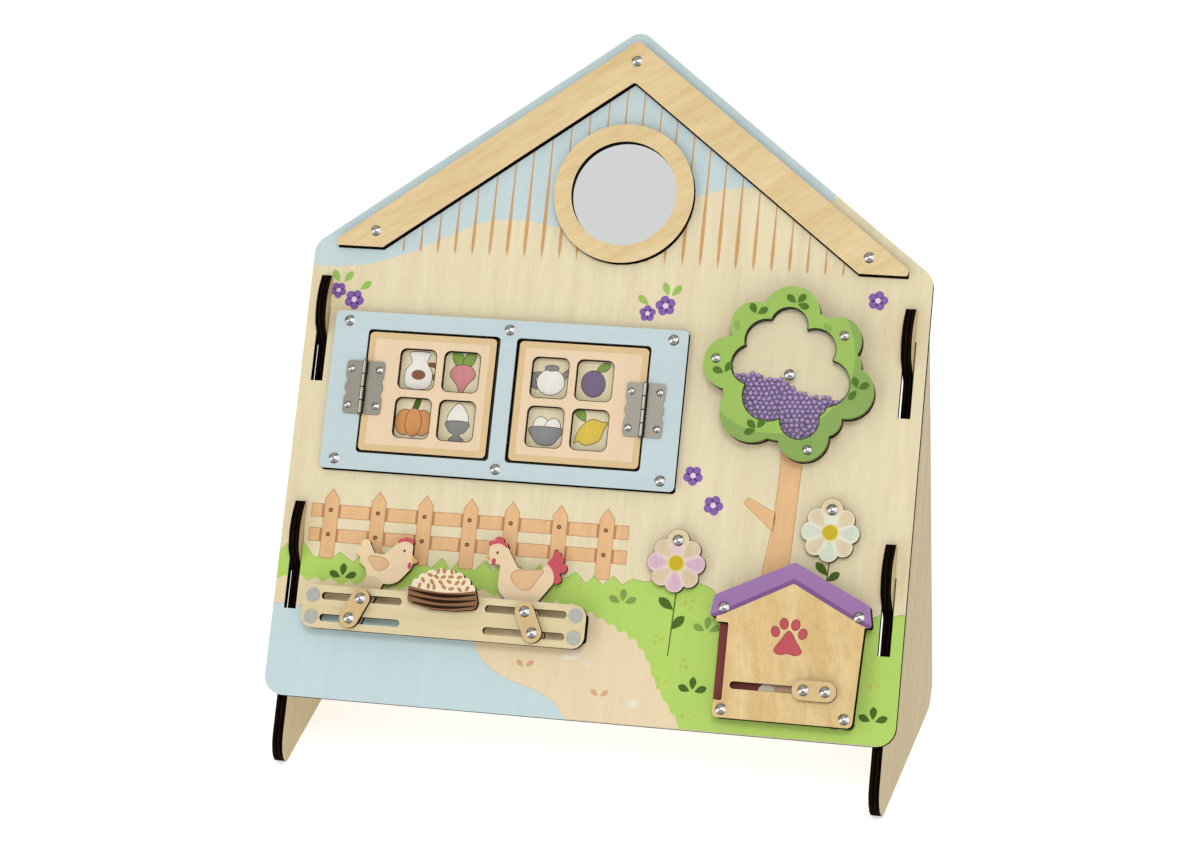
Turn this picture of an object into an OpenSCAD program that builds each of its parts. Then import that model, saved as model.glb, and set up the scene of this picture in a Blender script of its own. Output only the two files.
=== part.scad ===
// Wooden busy board shaped like a house front. It stands on two side panels whose hooks
// reach through slots in the board. On the board: a hinged two-shutter window, a mirror,
// a turning tree with loose beads, two swinging flowers, two pecking hens on a slotted bar
// and a kennel with a sliding picture panel.
//
// The pieces are laid out on the board's front face: x runs across from the board's centre
// line, y runs up the board from its bottom edge, z is the height above the front face.

/* [Board] */
// Width of the board
board_w = 360; // [350:1:450]
// Height from the board's bottom edge to its eaves
eaves_h = 263; // [250:1:340]
// Rise of the roof from the eaves to the peak
roof_rise = 136.7; // [120:0.1:170]
// Thickness of the board
board_t = 6; // [4:0.5:8]
// Radius of the board's corners
corner_r = 11; // [4:0.5:14]
// Radius of the board's peak
peak_r = 9; // [4:0.5:14]

/* [Side panels] */
// Angle that the board leans back from upright
recline = 30; // [25:1:35]
// Height of the board's bottom front edge above the floor
board_lift = 43.3; // [38:0.1:60]
// Thickness of a side panel
panel_t = 6; // [4:0.5:8]
// Angle that each panel stands splayed outwards
panel_splay = 4.2; // [0:0.1:5]
// Distance from the board's bottom front edge back to the panels' upright rear edge
panel_depth = 158.5; // [150:0.5:200]
// Height of the panels' top edge above the floor
panel_top_z = 258; // [250:1:300]
// Radius of the panels' rounded toe
toe_r = 14.4; // [8:0.1:18]
// Radius of the panels' rounded heel
heel_r = 17.6; // [8:0.1:24]
// Length of each slot that takes a hook
slot_l = 43.5; // [40:0.5:50]
// Distance from the board's side edge to the middle of a slot
slot_inset = 10; // [9:0.5:20]
// Height of the lower slots' bottom end
slot_low_y = 49.5; // [30:0.5:80]
// Distance from the lower slots up to the upper slots
slot_rise = 132.6; // [100:0.1:150]
// Height of the hook's neck where it passes through the slot
neck_h = 22; // [14:0.5:23]
// Height of the hook above the slot's top end
hook_rise = 18.5; // [12:0.5:20]
// How far the hook stands out in front of the board
hook_reach = 11; // [8:0.5:12]

/* [Rivets] */
// Diameter of a rivet's domed cap
cap_d = 6.4; // [5:0.1:7]
// Height of a domed cap
cap_h = 1.8; // [1:0.1:2.5]
// Diameter of a rivet's shank
shank_d = 3; // [2:0.1:4]
// Height of the flat cap on a rivet's hidden end
tail_h = 1.2; // [0.6:0.1:1.5]
// How much narrower than the domed cap the flat cap is
tail_step = 0.6; // [0:0.1:1.5]

/* [Roof trim and mirror] */
// Thickness of the trims and the mirror ring
trim_t = 4; // [3:0.5:6]
// Width of the roof trim, measured up the board
roof_trim_h = 25; // [18:0.5:32]
// Outer diameter of the mirror ring
mirror_ring_d = 81.4; // [76:0.1:90]
// Diameter of the mirror's sight opening
mirror_d = 61; // [50:0.1:70]
// Height of the mirror's centre above the eaves
mirror_above_eaves = 38.3; // [34:0.1:44]
// Thickness of the mirror disc
mirror_t = 1; // [0.8:0.1:2]

/* [Window] */
// Width of the window frame
frame_w = 207; // [200:1:220]
// Height of the window frame
frame_h = 92.3; // [88:0.1:100]
// Centre of the frame across the board
frame_x = -57.8; // [-62:0.1:-56]
// Centre of the frame above the board's bottom edge
frame_y = 177.4; // [172:0.1:190]
// Width of each opening in the frame
opening_w = 77.4; // [74:0.1:80]
// Height of each opening in the frame
opening_h = 71.3; // [66:0.1:76]
// Width of the post between the two openings
post_w = 10.4; // [8:0.1:14]
// Thickness of a shutter
shutter_t = 3; // [2:0.1:3]
// Gap above and below a shutter
shutter_gap = 1.1; // [0.8:0.1:2]
// Gap beside a shutter's free side
shutter_free_gap = 1.6; // [0.8:0.1:3]
// Width of one pane opening
pane_w = 21; // [14:0.5:22]
// Height of one pane opening
pane_h = 23.2; // [16:0.1:25]
// Distance between the panes' centres across the shutter
pane_pitch_x = 26; // [24:0.5:28]
// Distance between the panes' centres up the shutter
pane_pitch_y = 28.4; // [27:0.1:32]

/* [Hinges] */
// Height of a hinge along its pin
hinge_h = 31; // [24:1:40]
// Width of one hinge leaf from the pin to its outer edge
leaf_w = 11.2; // [9:0.1:14]
// Thickness of a hinge leaf
leaf_t = 0.8; // [0.6:0.1:1.2]
// Diameter of a hinge pin
pin_d = 1.6; // [1.2:0.1:2]
// Outer diameter of a hinge knuckle
knuckle_d = 3.2; // [2.8:0.1:4]
// Diameter of a hinge rivet's cap
hinge_cap_d = 4.4; // [3.6:0.1:5]

/* [Tree] */
// Diameter of the caps on the tree's closing rivets
tree_cap_d = 5.6; // [5:0.1:6.4]
// Centre of the tree's axle across the board
tree_x = 105.3; // [104:0.1:110]
// Height of the tree's axle above the board's bottom edge
tree_y = 201.3; // [198:0.1:215]
// Thickness of the spacing washer behind the tree
tree_washer_t = 1.7; // [1.6:0.1:3]
// Thickness of the tree's back plate
tree_back_t = 2; // [1.5:0.1:3]
// Depth of the bead chamber
chamber_t = 3.2; // [3.1:0.1:5]
// Thickness of the clear window
window_t = 1; // [0.8:0.1:2]
// Thickness of the tree's front ring
ring_t = 2; // [1.5:0.1:4]
// Diameter of a bead
bead_d = 2.9; // [2.5:0.1:2.9]

/* [Flowers] */
// Thickness of a flower
flower_t = 3; // [2:0.5:4]
// Distance from a flower's rivet down to its centre
flower_drop = 12.8; // [11:0.1:13]
// Radius from a flower's centre to the tips of its petals
flower_r = 16.6; // [14:0.1:16.6]
// Number of petals
petals = 8; // [5:1:12]

/* [Hens] */
// Length of the slotted bar
bar_w = 164.4; // [163:0.1:180]
// Height of the slotted bar
bar_h = 24.6; // [23:0.1:30]
// Thickness of the bar and the kennel's front
bar_t = 4; // [3:0.5:6]
// Centre of the bar across the board
bar_x = -77.8; // [-79:0.1:-74]
// Centre of the bar above the board's bottom edge
bar_y = 51; // [40:0.5:54]
// Space between the board and the bar, in which the hens slide
slide_gap = 6; // [5.5:0.5:9]
// Thickness of the hens, links and the kennel's sliding panel
slider_t = 3; // [2:0.5:3.5]
// Length of each slot in the bar
hen_slot_w = 47; // [45:0.5:50]
// Width of the slots
track_h = 4.2; // [4:0.1:5]
// Distance between the upper and lower slots
track_pitch = 12.4; // [12:0.1:13]
// Diameter of a sliding rivet's shank
slide_shank_d = 2.6; // [2:0.1:2.8]
// Distance between the two rivets of a link
link_pitch = 12.8; // [12.4:0.1:13]
// Radius of a link's round ends
link_r = 5.5; // [4.5:0.1:6]
// Angle that a hen leans towards the feed bowl
hen_lean = 25; // [10:1:25]

/* [Kennel] */
// Centre of the kennel across the board
kennel_x = 118.4; // [118:0.1:122]
// Bottom edge of the kennel above the board's bottom edge
kennel_y = 8; // [6:0.5:10]
// Height of the kennel from its bottom edge to its roof's peak
kennel_h = 88.4; // [88:0.1:90]
// Height of the kennel's sliding panel
kennel_slide_h = 42.4; // [36:0.1:44]
// Length of the kennel's sliding panel
kennel_slide_w = 68; // [60:0.5:68]
// Distance between the rivets of the kennel's link
kennel_link_pitch = 12; // [10:0.5:14]

/* [Hidden] */
$fn = 64;

// Colours
plain_ply = "BurlyWood";
pale_ply = "Wheat";
steel = "Silver";

// Clearances
shank_play = 0.1; // round a rivet's shank in a fixed piece
turn_play = 0.05; // round a shank or pin that a piece turns on
face_play = 0.3; // between flat faces that slide or turn on each other
cut = 1; // how far a bore's cutter runs past each face
slot_play = 1; // across a slot beyond the panel's thickness
hook_play = 0.3; // between the panels and the board's faces
arc_steps = 6; // straight steps in one rounded corner
floor_cut = 0.4; // depth of panel trimmed off flat along the floor

// Board
left = -1;
right = 1;
peak_y = eaves_h + roof_rise;
slot_x = board_w / 2 - slot_inset;
slot_w = panel_t + slot_play;
slot_low_ends = [slot_low_y, slot_low_y + slot_rise];
roof_slope = atan(2 * roof_rise / board_w);

// Where the leaning board stands: the origin is under the middle of the whole object
panel_front_z = -board_t - hook_play;
toe_y = (-board_lift - panel_front_z * sin(recline)) / cos(recline);
toe_corner = [toe_y * sin(recline) - panel_front_z * cos(recline), -board_lift];
toe_front = toe_corner[0] + toe_r / tan(45 - recline / 2) - toe_r;
peak_top_y = peak_y - peak_r * (1 / cos(roof_slope) - 1);
board_back = peak_top_y * sin(recline) + board_t * cos(recline);
stand_y = -(toe_front + board_back) / 2;

// Roof trim, parallel to the roof's edges
trim_end_inset = 14; // from the board's side to the trim's end
trim_drop = 1; // how far the trim's ends reach below the eaves
trim_end_h = 4; // height of the trim's upright ends
trim_rivet_inset = 22.5;
trim_rivet_rise = 9.5;
trim_half_w = board_w / 2 - trim_end_inset;
trim_low_y = eaves_h - trim_drop;
trim_peak_y = trim_low_y + trim_end_h + trim_half_w * tan(roof_slope);
roof_rivets_at = [
    [0, trim_peak_y - roof_trim_h / 2],
    [-trim_half_w + trim_rivet_inset, trim_low_y + trim_rivet_rise],
    [trim_half_w - trim_rivet_inset, trim_low_y + trim_rivet_rise]
];

// Mirror
mirror_at = [0, eaves_h + mirror_above_eaves];

// Window: measured from the frame's centre; the right half mirrors the left
opening_x = (post_w + opening_w) / 2;
frame_corner_r = 3;
opening_corner_r = 2;
frame_rivet_inset = [8.4, 5.8];
frame_rivet_reach = [frame_w, frame_h] / 2 - frame_rivet_inset;
frame_rivets_at = [
    for (x = [-1, 0, 1], y = [-1, 1])
        [frame_x + x * frame_rivet_reach[0], frame_y + y * frame_rivet_reach[1]]
];
hinge_gap = 0.8;
shutter_w = opening_w - hinge_gap - shutter_free_gap;
shutter_h = opening_h - 2 * shutter_gap;
shutter_x = opening_x - (hinge_gap - shutter_free_gap) / 2;
shutter_corner_r = 2.5;
pane_shift = 5.4; // how far the panes lie off the shutter's middle, away from the hinge
pane_corner_r = 3.5;
pin_x = opening_x + opening_w / 2 - hinge_gap / 2;

// Hinges
hinge_y_left = 1.6; // the left hinge's centre above the frame's centre
hinge_y_right = -0.9; // the right hinge's centre above the frame's centre
knuckles = 4;
knuckle_gap = 0.4;
pin_z = trim_t + knuckle_d / 2 + face_play;
hinge_rivet_inset = [2.9, 5];
hinge_rivet_x = leaf_w - hinge_rivet_inset[0];
hinge_rivet_y = hinge_h / 2 - hinge_rivet_inset[1];
hinge_shank_d = 2;
hinge_cap_h = 1.2;
hinge_tail_h = 0.6;
leaf_corner_r = 2;
notch_r = 3; // the two notches in a leaf's outer edge
notch_depth = 1;
notch_pitch = hinge_h / 4;
pin_button_d = pin_d + 0.8;
pin_button_h = 0.4;

// Tree, from its back face to its front
tree_back_z = tree_washer_t + face_play;
chamber_z = tree_back_z + tree_back_t;
window_z = chamber_z + chamber_t;
ring_z = window_z + window_t;
tree_at = [tree_x, tree_y];
// Round lobes of the tree's crown: x and y from the axle, then radius
crown_lobes = [
    [-1.7, 34, 16.2], [-22.3, 26.8, 13.2], [-33.5, 4.5, 15.3], [-19, -21.5, 18.3],
    [11, -34.5, 14.2], [22, -24.5, 9.5], [33.2, -8.2, 15], [29, 6, 11], [25.5, 20.5, 13.5],
    [0, 0, 38]
];
// Round lobes of the window in the crown
window_lobes = [
    [-2.5, 27.5, 10.5], [-14.5, 18.5, 12], [-21.5, 4.5, 11.5], [-10.5, -12.5, 14.5],
    [8, -25, 11], [14.5, -15.5, 8], [21, -3.8, 13.2], [13, 15, 11.8], [0, 0, 20]
];
window_edge = 0.5; // how far the clear window stays inside the crown's edge
tree_rivets_at = [[-42, 6.5], [29, 23.5], [14, -42]];
bead_gap = 0.12;
bead_pitch = bead_d + bead_gap;
bead_row = bead_pitch * sin(60);
bead_reach = 14; // rows and columns of beads that fit from the axle to the edge
// The settled beads' surface: its height on the left, at the axle and on the right
pile_high = -0.8;
pile_mid = -4.5;
pile_low = -10.8;
pile_slope = 0.55;

// Flowers: their rivets' places on the board
flower_left_at = [51, 104.4];
flower_right_at = [135.2, 127.8];
washer_rim = 2; // how far a washer reaches past its rivet's cap
flower_washer_t = 1;
flower_z = flower_washer_t + face_play;
flower_tab_r = 6.5; // the round tab that the flower hangs by
petal_r = flower_r * 0.34;
petal_at = flower_r - petal_r;
petal_overlap = 1; // how far the flower's core reaches past the petals' centres

// Hens
bar_z = slide_gap;
bar_front = bar_z + bar_t;
link_z = bar_front + face_play;
link_front = link_z + slider_t;
slider_z = slide_gap - face_play - slider_t;
bar_corner_r = 7;
stud_inset = 6;
stud_d = 8;
stud_h = 0.5;
spacer_w = 8;
spacer_inset = 0.5;
spacer_h = bar_h - 8;
hen_x = 47.6; // a hen's pivot from the bar's centre
lower_track_y = bar_y - track_pitch / 2;
// The guide rivet runs as far above its slot's middle as below it while the hen rocks
pivot_y = lower_track_y + link_pitch * (1 + cos(hen_lean)) / 2;
guide_x = link_pitch * sin(hen_lean);
guide_y = -link_pitch * cos(hen_lean);

// Kennel: x from its centre, y from its bottom edge
kennel_eave_x = 45;
kennel_eave_y = 55.3;
kennel_eave_h = 12; // height of the roof's upright ends
kennel_eave_lean = 2; // how far the ends lean in over that height
kennel_wall_x = 41; // half the width under the eaves
kennel_foot_x = 38.6; // half the width at the bottom
kennel_slide_mid = 31;
kennel_channel_h = kennel_slide_h + 2 * face_play;
kennel_cut_x = 34; // where the front plate's opening ends, left of the centre
kennel_stick_out = 5.4; // how far the closed panel shows in that opening
kennel_end_play = 1.5; // from the closed panel to the channel's end
kennel_slide_left = -kennel_cut_x - kennel_stick_out;
kennel_slide_corner_r = 1;
kennel_track_y = 18.3;
kennel_rivet_x = 10.8; // the link's left rivet from the kennel's centre
kennel_link_extra = 1.5; // the kennel's link is this much longer than a hen's shape
kennel_travel = 39;
kennel_top_rivet = [kennel_wall_x - 3.6, kennel_eave_y + 5.4];
kennel_low_rivet = [kennel_foot_x - 4.7, 4.6];
kennel_rivets_at = [
    for (side = [left, right], p = [kennel_top_rivet, kennel_low_rivet])
        [side * p[0], p[1]]
];

// Outlines ---------------------------------------------------------------------------

// A point turned about the origin
function turned(p, a) = [p[0] * cos(a) - p[1] * sin(a), p[0] * sin(a) + p[1] * cos(a)];

// The arc that rounds the corner b between a and c with radius r
function corner_arc(a, b, c, r) =
    let (
        to_a = (a - b) / norm(a - b),
        to_c = (c - b) / norm(c - b),
        half = acos(to_a * to_c) / 2,
        middle = b + (to_a + to_c) / norm(to_a + to_c) * r / sin(half),
        start = b + to_a * r / tan(half) - middle,
        sweep = (cross(to_a, to_c) > 0 ? -1 : 1) * (180 - 2 * half)
    )
    [for (i = [0 : arc_steps]) middle + turned(start, sweep * i / arc_steps)];

// An outline whose corners, given as [x, y, radius], are rounded
function rounded(corners) =
    let (n = len(corners), p = [for (c = corners) [c[0], c[1]]])
    [
        for (i = [0 : n - 1])
            each corners[i][2] == 0 ? [p[i]]
                : corner_arc(p[(i + n - 1) % n], p[i], p[(i + 1) % n], corners[i][2])
    ];

// A rectangle with round corners about its centre
module rounded_rect(w, h, r) {
    polygon(rounded([
        [-w / 2, -h / 2, r], [w / 2, -h / 2, r], [w / 2, h / 2, r], [-w / 2, h / 2, r]
    ]));
}

// A slot with round ends, w long from end to end
module round_slot(w, h) {
    square([w - h, h], center = true);
    for (side = [left, right])
        translate([side * (w - h) / 2, 0]) circle(d = h);
}

// Round holes at a list of places
module holes(places, d) {
    for (p = places)
        translate(p) circle(d = d);
}

// Overlapping discs of given places and radii
module lobes(list) {
    for (l = list)
        translate([l[0], l[1]]) circle(r = l[2]);
}

// Placing ------------------------------------------------------------------------------

// Puts a piece that is laid out on the board's front face into the standing object
module on_board() {
    translate([0, stand_y, board_lift]) rotate([90 - recline, 0, 0]) children();
}

// Puts a piece drawn for the right half of the window on either half
module on_window(side) {
    on_board() translate([frame_x, frame_y, 0]) scale_x(side) children();
}

// Mirrors a piece to the left side
module scale_x(side) {
    mirror([side == left ? 1 : 0, 0, 0]) children();
}

// Rivets -------------------------------------------------------------------------------

// A low domed cap standing on z = 0
module dome(d, h) {
    r = (d * d / 4 + h * h) / (2 * h);
    intersection() {
        translate([0, 0, h - r]) sphere(r = r);
        cylinder(d = d, h = h);
    }
}

// A rivet that grips from low to high: domed cap in front, flat cap behind
module rivet(low, high, shank = shank_d, cap = cap_d, dome_h = cap_h, tail = tail_h) {
    color(steel) {
        translate([0, 0, low]) cylinder(d = shank, h = high - low);
        translate([0, 0, high]) dome(cap, dome_h);
        translate([0, 0, low - tail]) cylinder(d = cap - tail_step, h = tail);
    }
}

// Rivets through the board at a list of places
module board_rivets(places, top) {
    on_board()
        for (p = places)
            translate(p) rivet(-board_t, top);
}

// Board and side panels ----------------------------------------------------------------

module front_board() {
    studs = [for (x = [left, right], y = [-1, 1]) stud_place(x, y)];
    kennel_holes = [for (p = kennel_rivets_at) p + [kennel_x, kennel_y]];
    hinge_holes = [for (side = [left, right], y = [-1, 1]) frame_hinge_rivet(side, y)];
    color(pale_ply) on_board() translate([0, 0, -board_t]) linear_extrude(board_t)
        difference() {
            polygon(rounded([
                [-board_w / 2, 0, corner_r], [board_w / 2, 0, corner_r],
                [board_w / 2, eaves_h, corner_r], [0, peak_y, peak_r],
                [-board_w / 2, eaves_h, corner_r]
            ]));
            for (side = [left, right], y = slot_low_ends)
                translate([side * slot_x - slot_w / 2, y]) square([slot_w, slot_l]);
            holes(
                concat(roof_rivets_at, frame_rivets_at, studs, kennel_holes),
                shank_d + 2 * shank_play
            );
            holes(hinge_holes, hinge_shank_d + 2 * shank_play);
            holes([tree_at, flower_left_at, flower_right_at], shank_d + 2 * shank_play);
        }
}

// One hook, as corners of the panel's outline, for a slot that ends at y = top
function hook(top) = [
    [top - neck_h, panel_front_z, 1.5],
    [top - neck_h / 2, hook_reach * 0.75, 6],
    [top + 2, hook_reach * 1.27, 23],
    [top + hook_rise, hook_reach * 0.4, 2],
    [top + hook_rise - 1.5, hook_play, 1],
    [top - hook_play, hook_play, 0],
    [top - hook_play, panel_front_z, 0]
];

// A place on the panel given by its distance behind the board's bottom front edge and its
// height above the floor, turned into the board's y and z
function behind(back, up) =
    let (z = up - board_lift)
    [
        back * sin(recline) + z * cos(recline),
        z * sin(recline) - back * cos(recline)
    ];

module panel_outline() {
    top_y = (panel_top_z - board_lift - panel_front_z * sin(recline)) / cos(recline);
    heel = behind(panel_depth, -floor_cut);
    crown = behind(panel_depth, panel_top_z);
    toe = [toe_y - floor_cut / cos(recline), panel_front_z];
    polygon(rounded(concat(
        [[toe[0], toe[1], toe_r]],
        hook(slot_low_ends[0] + slot_l),
        hook(slot_low_ends[1] + slot_l),
        [[top_y, panel_front_z, 8], [crown[0], crown[1], 14], [heel[0], heel[1], heel_r]]
    )));
}

module side_panel(side) {
    floor_block = 10;
    color(plain_ply) difference() {
        on_board()
            translate([side * slot_x, 0, -board_t / 2]) rotate([0, -side * panel_splay, 0])
                translate([-panel_t / 2, 0, board_t / 2]) rotate([90, 0, 90])
                    linear_extrude(panel_t) panel_outline();
        translate([-board_w, -board_w, -floor_block])
            cube([2 * board_w, 2 * board_w, floor_block]);
    }
}

// Roof trim and mirror -----------------------------------------------------------------

module roof_trim() {
    inner_peak_y = trim_peak_y - roof_trim_h;
    inner_half_w = (inner_peak_y - trim_low_y) / tan(roof_slope);
    color(plain_ply) on_board() linear_extrude(trim_t) difference() {
        polygon(rounded([
            [-trim_half_w, trim_low_y, 1.5], [-inner_half_w, trim_low_y, 0],
            [0, inner_peak_y, 2], [inner_half_w, trim_low_y, 0],
            [trim_half_w, trim_low_y, 1.5], [trim_half_w, trim_low_y + trim_end_h, 2.5],
            [0, trim_peak_y, 3], [-trim_half_w, trim_low_y + trim_end_h, 2.5]
        ]));
        holes(roof_rivets_at, shank_d + 2 * shank_play);
    }
}

module roof_trim_rivets() {
    board_rivets(roof_rivets_at, trim_t);
}

module mirror_ring() {
    color(plain_ply) on_board() translate(mirror_at) difference() {
        cylinder(d = mirror_ring_d, h = trim_t);
        translate([0, 0, -cut]) cylinder(d = mirror_d, h = trim_t + 2 * cut);
    }
}

module mirror_disc() {
    color("LightGray") on_board() translate(mirror_at)
        cylinder(d = mirror_d - 2 * shank_play, h = mirror_t);
}

// Window -------------------------------------------------------------------------------

module window_frame() {
    hinge_holes = [for (side = [left, right], y = [-1, 1]) frame_hinge_rivet(side, y)];
    color("LightBlue") on_board() linear_extrude(trim_t) difference() {
        translate([frame_x, frame_y]) difference() {
            rounded_rect(frame_w, frame_h, frame_corner_r);
            for (side = [left, right])
                translate([side * opening_x, 0])
                    rounded_rect(opening_w, opening_h, opening_corner_r);
        }
        holes(frame_rivets_at, shank_d + 2 * shank_play);
        holes(hinge_holes, hinge_shank_d + 2 * shank_play);
    }
}

module window_frame_rivets() {
    board_rivets(frame_rivets_at, trim_t);
}

module shutter(side) {
    color("PeachPuff") on_window(side) translate([shutter_x, 0, trim_t - shutter_t])
        linear_extrude(shutter_t) difference() {
            rounded_rect(shutter_w, shutter_h, shutter_corner_r);
            for (x = [-1, 1], y = [-1, 1])
                translate([x * pane_pitch_x / 2 - pane_shift, y * pane_pitch_y / 2])
                    rounded_rect(pane_w, pane_h, pane_corner_r);
            translate([-shutter_x, 0])
                holes(
                    [for (y = [-1, 1]) hinge_rivet(side, -1, y)],
                    hinge_shank_d + 2 * shank_play
                );
        }
}

// Hinges: drawn on the right half of the window, outwards = 1 for the frame's leaf and
// -1 for the shutter's leaf

function hinge_y(side) = side == left ? hinge_y_left : hinge_y_right;

// A hinge rivet's place from the frame's centre, on the right half
function hinge_rivet(side, outwards, y) =
    [pin_x + outwards * hinge_rivet_x, hinge_y(side) + y * hinge_rivet_y];

// The same place on the board for a rivet in the frame's leaf
function frame_hinge_rivet(side, y) =
    let (p = hinge_rivet(side, 1, y))
    [frame_x + side * p[0], frame_y + p[1]];

module hinge_leaf(side, outwards) {
    knuckle_h = hinge_h / knuckles;
    plate_x = knuckle_d / 2 + face_play;
    first = outwards == 1 ? 0 : 1;
    color(steel) on_window(side) translate([pin_x, hinge_y(side), 0]) scale_x(outwards) {
        translate([0, 0, trim_t]) linear_extrude(leaf_t) difference() {
            polygon(rounded([
                [plate_x, -hinge_h / 2, 0], [leaf_w, -hinge_h / 2, leaf_corner_r],
                [leaf_w, hinge_h / 2, leaf_corner_r], [plate_x, hinge_h / 2, 0]
            ]));
            for (y = [-1, 1])
                translate([leaf_w + notch_r - notch_depth, y * notch_pitch / 2])
                    circle(r = notch_r);
            holes(
                [for (y = [-1, 1]) [hinge_rivet_x, y * hinge_rivet_y]],
                hinge_shank_d + 2 * shank_play
            );
        }
        for (i = [first, first + 2])
            translate([0, -hinge_h / 2 + i * knuckle_h + knuckle_gap / 2, 0])
                knuckle(knuckle_h - knuckle_gap, plate_x);
    }
}

// One rolled knuckle of length l and the strip that joins it to its leaf
module knuckle(l, plate_x) {
    difference() {
        union() {
            translate([0, 0, trim_t]) cube([plate_x + leaf_t, l, leaf_t]);
            translate([0, 0, pin_z]) rotate([-90, 0, 0]) cylinder(d = knuckle_d, h = l);
        }
        translate([0, -cut, pin_z]) rotate([-90, 0, 0])
            cylinder(d = pin_d + 2 * turn_play, h = l + 2 * cut);
    }
}

module hinge_pin(side) {
    color(steel) on_window(side) translate([pin_x, hinge_y(side), pin_z])
        rotate([-90, 0, 0]) {
            cylinder(d = pin_d, h = hinge_h + 2 * knuckle_gap, center = true);
            for (end = [0, 1]) mirror([0, 0, end])
                translate([0, 0, hinge_h / 2 + knuckle_gap / 2])
                    cylinder(d = pin_button_d, h = pin_button_h);
        }
}

module hinge_rivets(side, outwards) {
    low = outwards == 1 ? -board_t : trim_t - shutter_t;
    on_window(side)
        for (y = [-1, 1])
            translate(hinge_rivet(side, outwards, y))
                rivet(low, trim_t + leaf_t, hinge_shank_d, hinge_cap_d, hinge_cap_h, hinge_tail_h);
}

// Tree ---------------------------------------------------------------------------------

// One flat layer of the turning tree, drawn about its axle
module tree_layer(z, h) {
    on_board() translate([tree_x, tree_y, z]) linear_extrude(h) children();
}

module tree_holes() {
    holes(tree_rivets_at, shank_d + 2 * shank_play);
}

module axle_hole() {
    circle(d = shank_d + 2 * turn_play);
}

module tree_back_plate() {
    color(plain_ply) tree_layer(tree_back_z, tree_back_t) difference() {
        lobes(crown_lobes);
        tree_holes();
        axle_hole();
    }
}

module tree_chamber_ring() {
    color(plain_ply) tree_layer(chamber_z, chamber_t) difference() {
        lobes(crown_lobes);
        lobes(window_lobes);
        tree_holes();
    }
}

module tree_window() {
    color("AliceBlue", 0.4) tree_layer(window_z, window_t) difference() {
        lobes([for (l = crown_lobes) l - [0, 0, window_edge]]);
        tree_holes();
        axle_hole();
    }
}

module tree_front_ring() {
    color("YellowGreen") tree_layer(ring_z, ring_t) difference() {
        lobes(crown_lobes);
        lobes(window_lobes);
        tree_holes();
    }
}

module tree_rivets() {
    on_board() translate(tree_at)
        for (p = tree_rivets_at)
            translate(p) rivet(tree_back_z, ring_z + ring_t, cap = tree_cap_d);
}

// How deep a place lies inside the bead chamber
function depth_inside(p) = max([for (l = window_lobes) l[2] - norm(p - [l[0], l[1]])]);

// Height of the pile's surface
function pile_top(x) = max(pile_low, min(pile_high, pile_mid - pile_slope * x));

// Beads in close-packed rows that fill the chamber up to the pile's surface
module tree_beads() {
    clear = bead_d / 2 + bead_gap;
    color("MediumPurple") on_board()
        translate([tree_x, tree_y, chamber_z + chamber_t / 2])
            for (row = [-bead_reach : bead_reach], i = [-bead_reach : bead_reach]) {
                p = [(i + (row % 2 == 0 ? 0 : 0.5)) * bead_pitch, row * bead_row];
                below_surface = p[1] < pile_top(p[0]) - bead_d / 2;
                if (below_surface && depth_inside(p) > clear && norm(p) > clear + shank_d / 2)
                    translate(p) sphere(d = bead_d);
            }
}

module tree_axle_rivet() {
    on_board() translate(tree_at) rivet(-board_t, ring_z + face_play);
}

module tree_washer() {
    color("White") on_board() translate(tree_at) washer(tree_washer_t);
}

module washer(h) {
    difference() {
        cylinder(d = cap_d + 2 * washer_rim, h = h);
        translate([0, 0, -cut]) cylinder(d = shank_d + 2 * shank_play, h = h + 2 * cut);
    }
}

// Flowers ------------------------------------------------------------------------------

module flower(place) {
    color("MistyRose") on_board() translate([place[0], place[1], flower_z])
        linear_extrude(flower_t) difference() {
            union() {
                circle(r = flower_tab_r);
                translate([0, -flower_drop]) {
                    circle(r = petal_at + petal_overlap);
                    for (i = [1 : petals])
                        rotate(i * 360 / petals) translate([petal_at, 0]) circle(r = petal_r);
                }
            }
            circle(d = shank_d + 2 * turn_play);
        }
}

module flower_rivet(place) {
    on_board() translate(place) rivet(-board_t, flower_z + flower_t + face_play);
}

module flower_washer(place) {
    color("White") on_board() translate(place) washer(flower_washer_t);
}

// Hens ---------------------------------------------------------------------------------

// A stud's place on the board: x and y are -1 or 1
function stud_place(x, y) = [bar_x + x * (bar_w / 2 - stud_inset), bar_y + y * track_pitch / 2];

module slide_bar() {
    color(pale_ply) on_board() translate([0, 0, bar_z]) linear_extrude(bar_t) difference() {
        translate([bar_x, bar_y]) difference() {
            rounded_rect(bar_w, bar_h, bar_corner_r);
            for (side = [left, right], y = [-1, 1])
                translate([side * hen_x, y * track_pitch / 2]) round_slot(hen_slot_w, track_h);
        }
        holes(
            [for (x = [left, right], y = [-1, 1]) stud_place(x, y)],
            shank_d + 2 * shank_play
        );
    }
}

module bar_spacers() {
    color(plain_ply) on_board() linear_extrude(slide_gap) difference() {
        for (side = [left, right])
            translate([bar_x + side * ((bar_w - spacer_w) / 2 - spacer_inset), bar_y])
                rounded_rect(spacer_w, spacer_h, 2);
        holes(
            [for (x = [left, right], y = [-1, 1]) stud_place(x, y)],
            shank_d + 2 * shank_play
        );
    }
}

module bar_studs() {
    color("DarkGray") on_board()
        for (x = [left, right], y = [-1, 1])
            translate(stud_place(x, y)) {
                translate([0, 0, -board_t]) cylinder(d = shank_d, h = board_t + bar_front);
                translate([0, 0, bar_front]) cylinder(d = stud_d, h = stud_h);
                translate([0, 0, -board_t - stud_h]) cylinder(d = stud_d, h = stud_h);
            }
}

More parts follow.
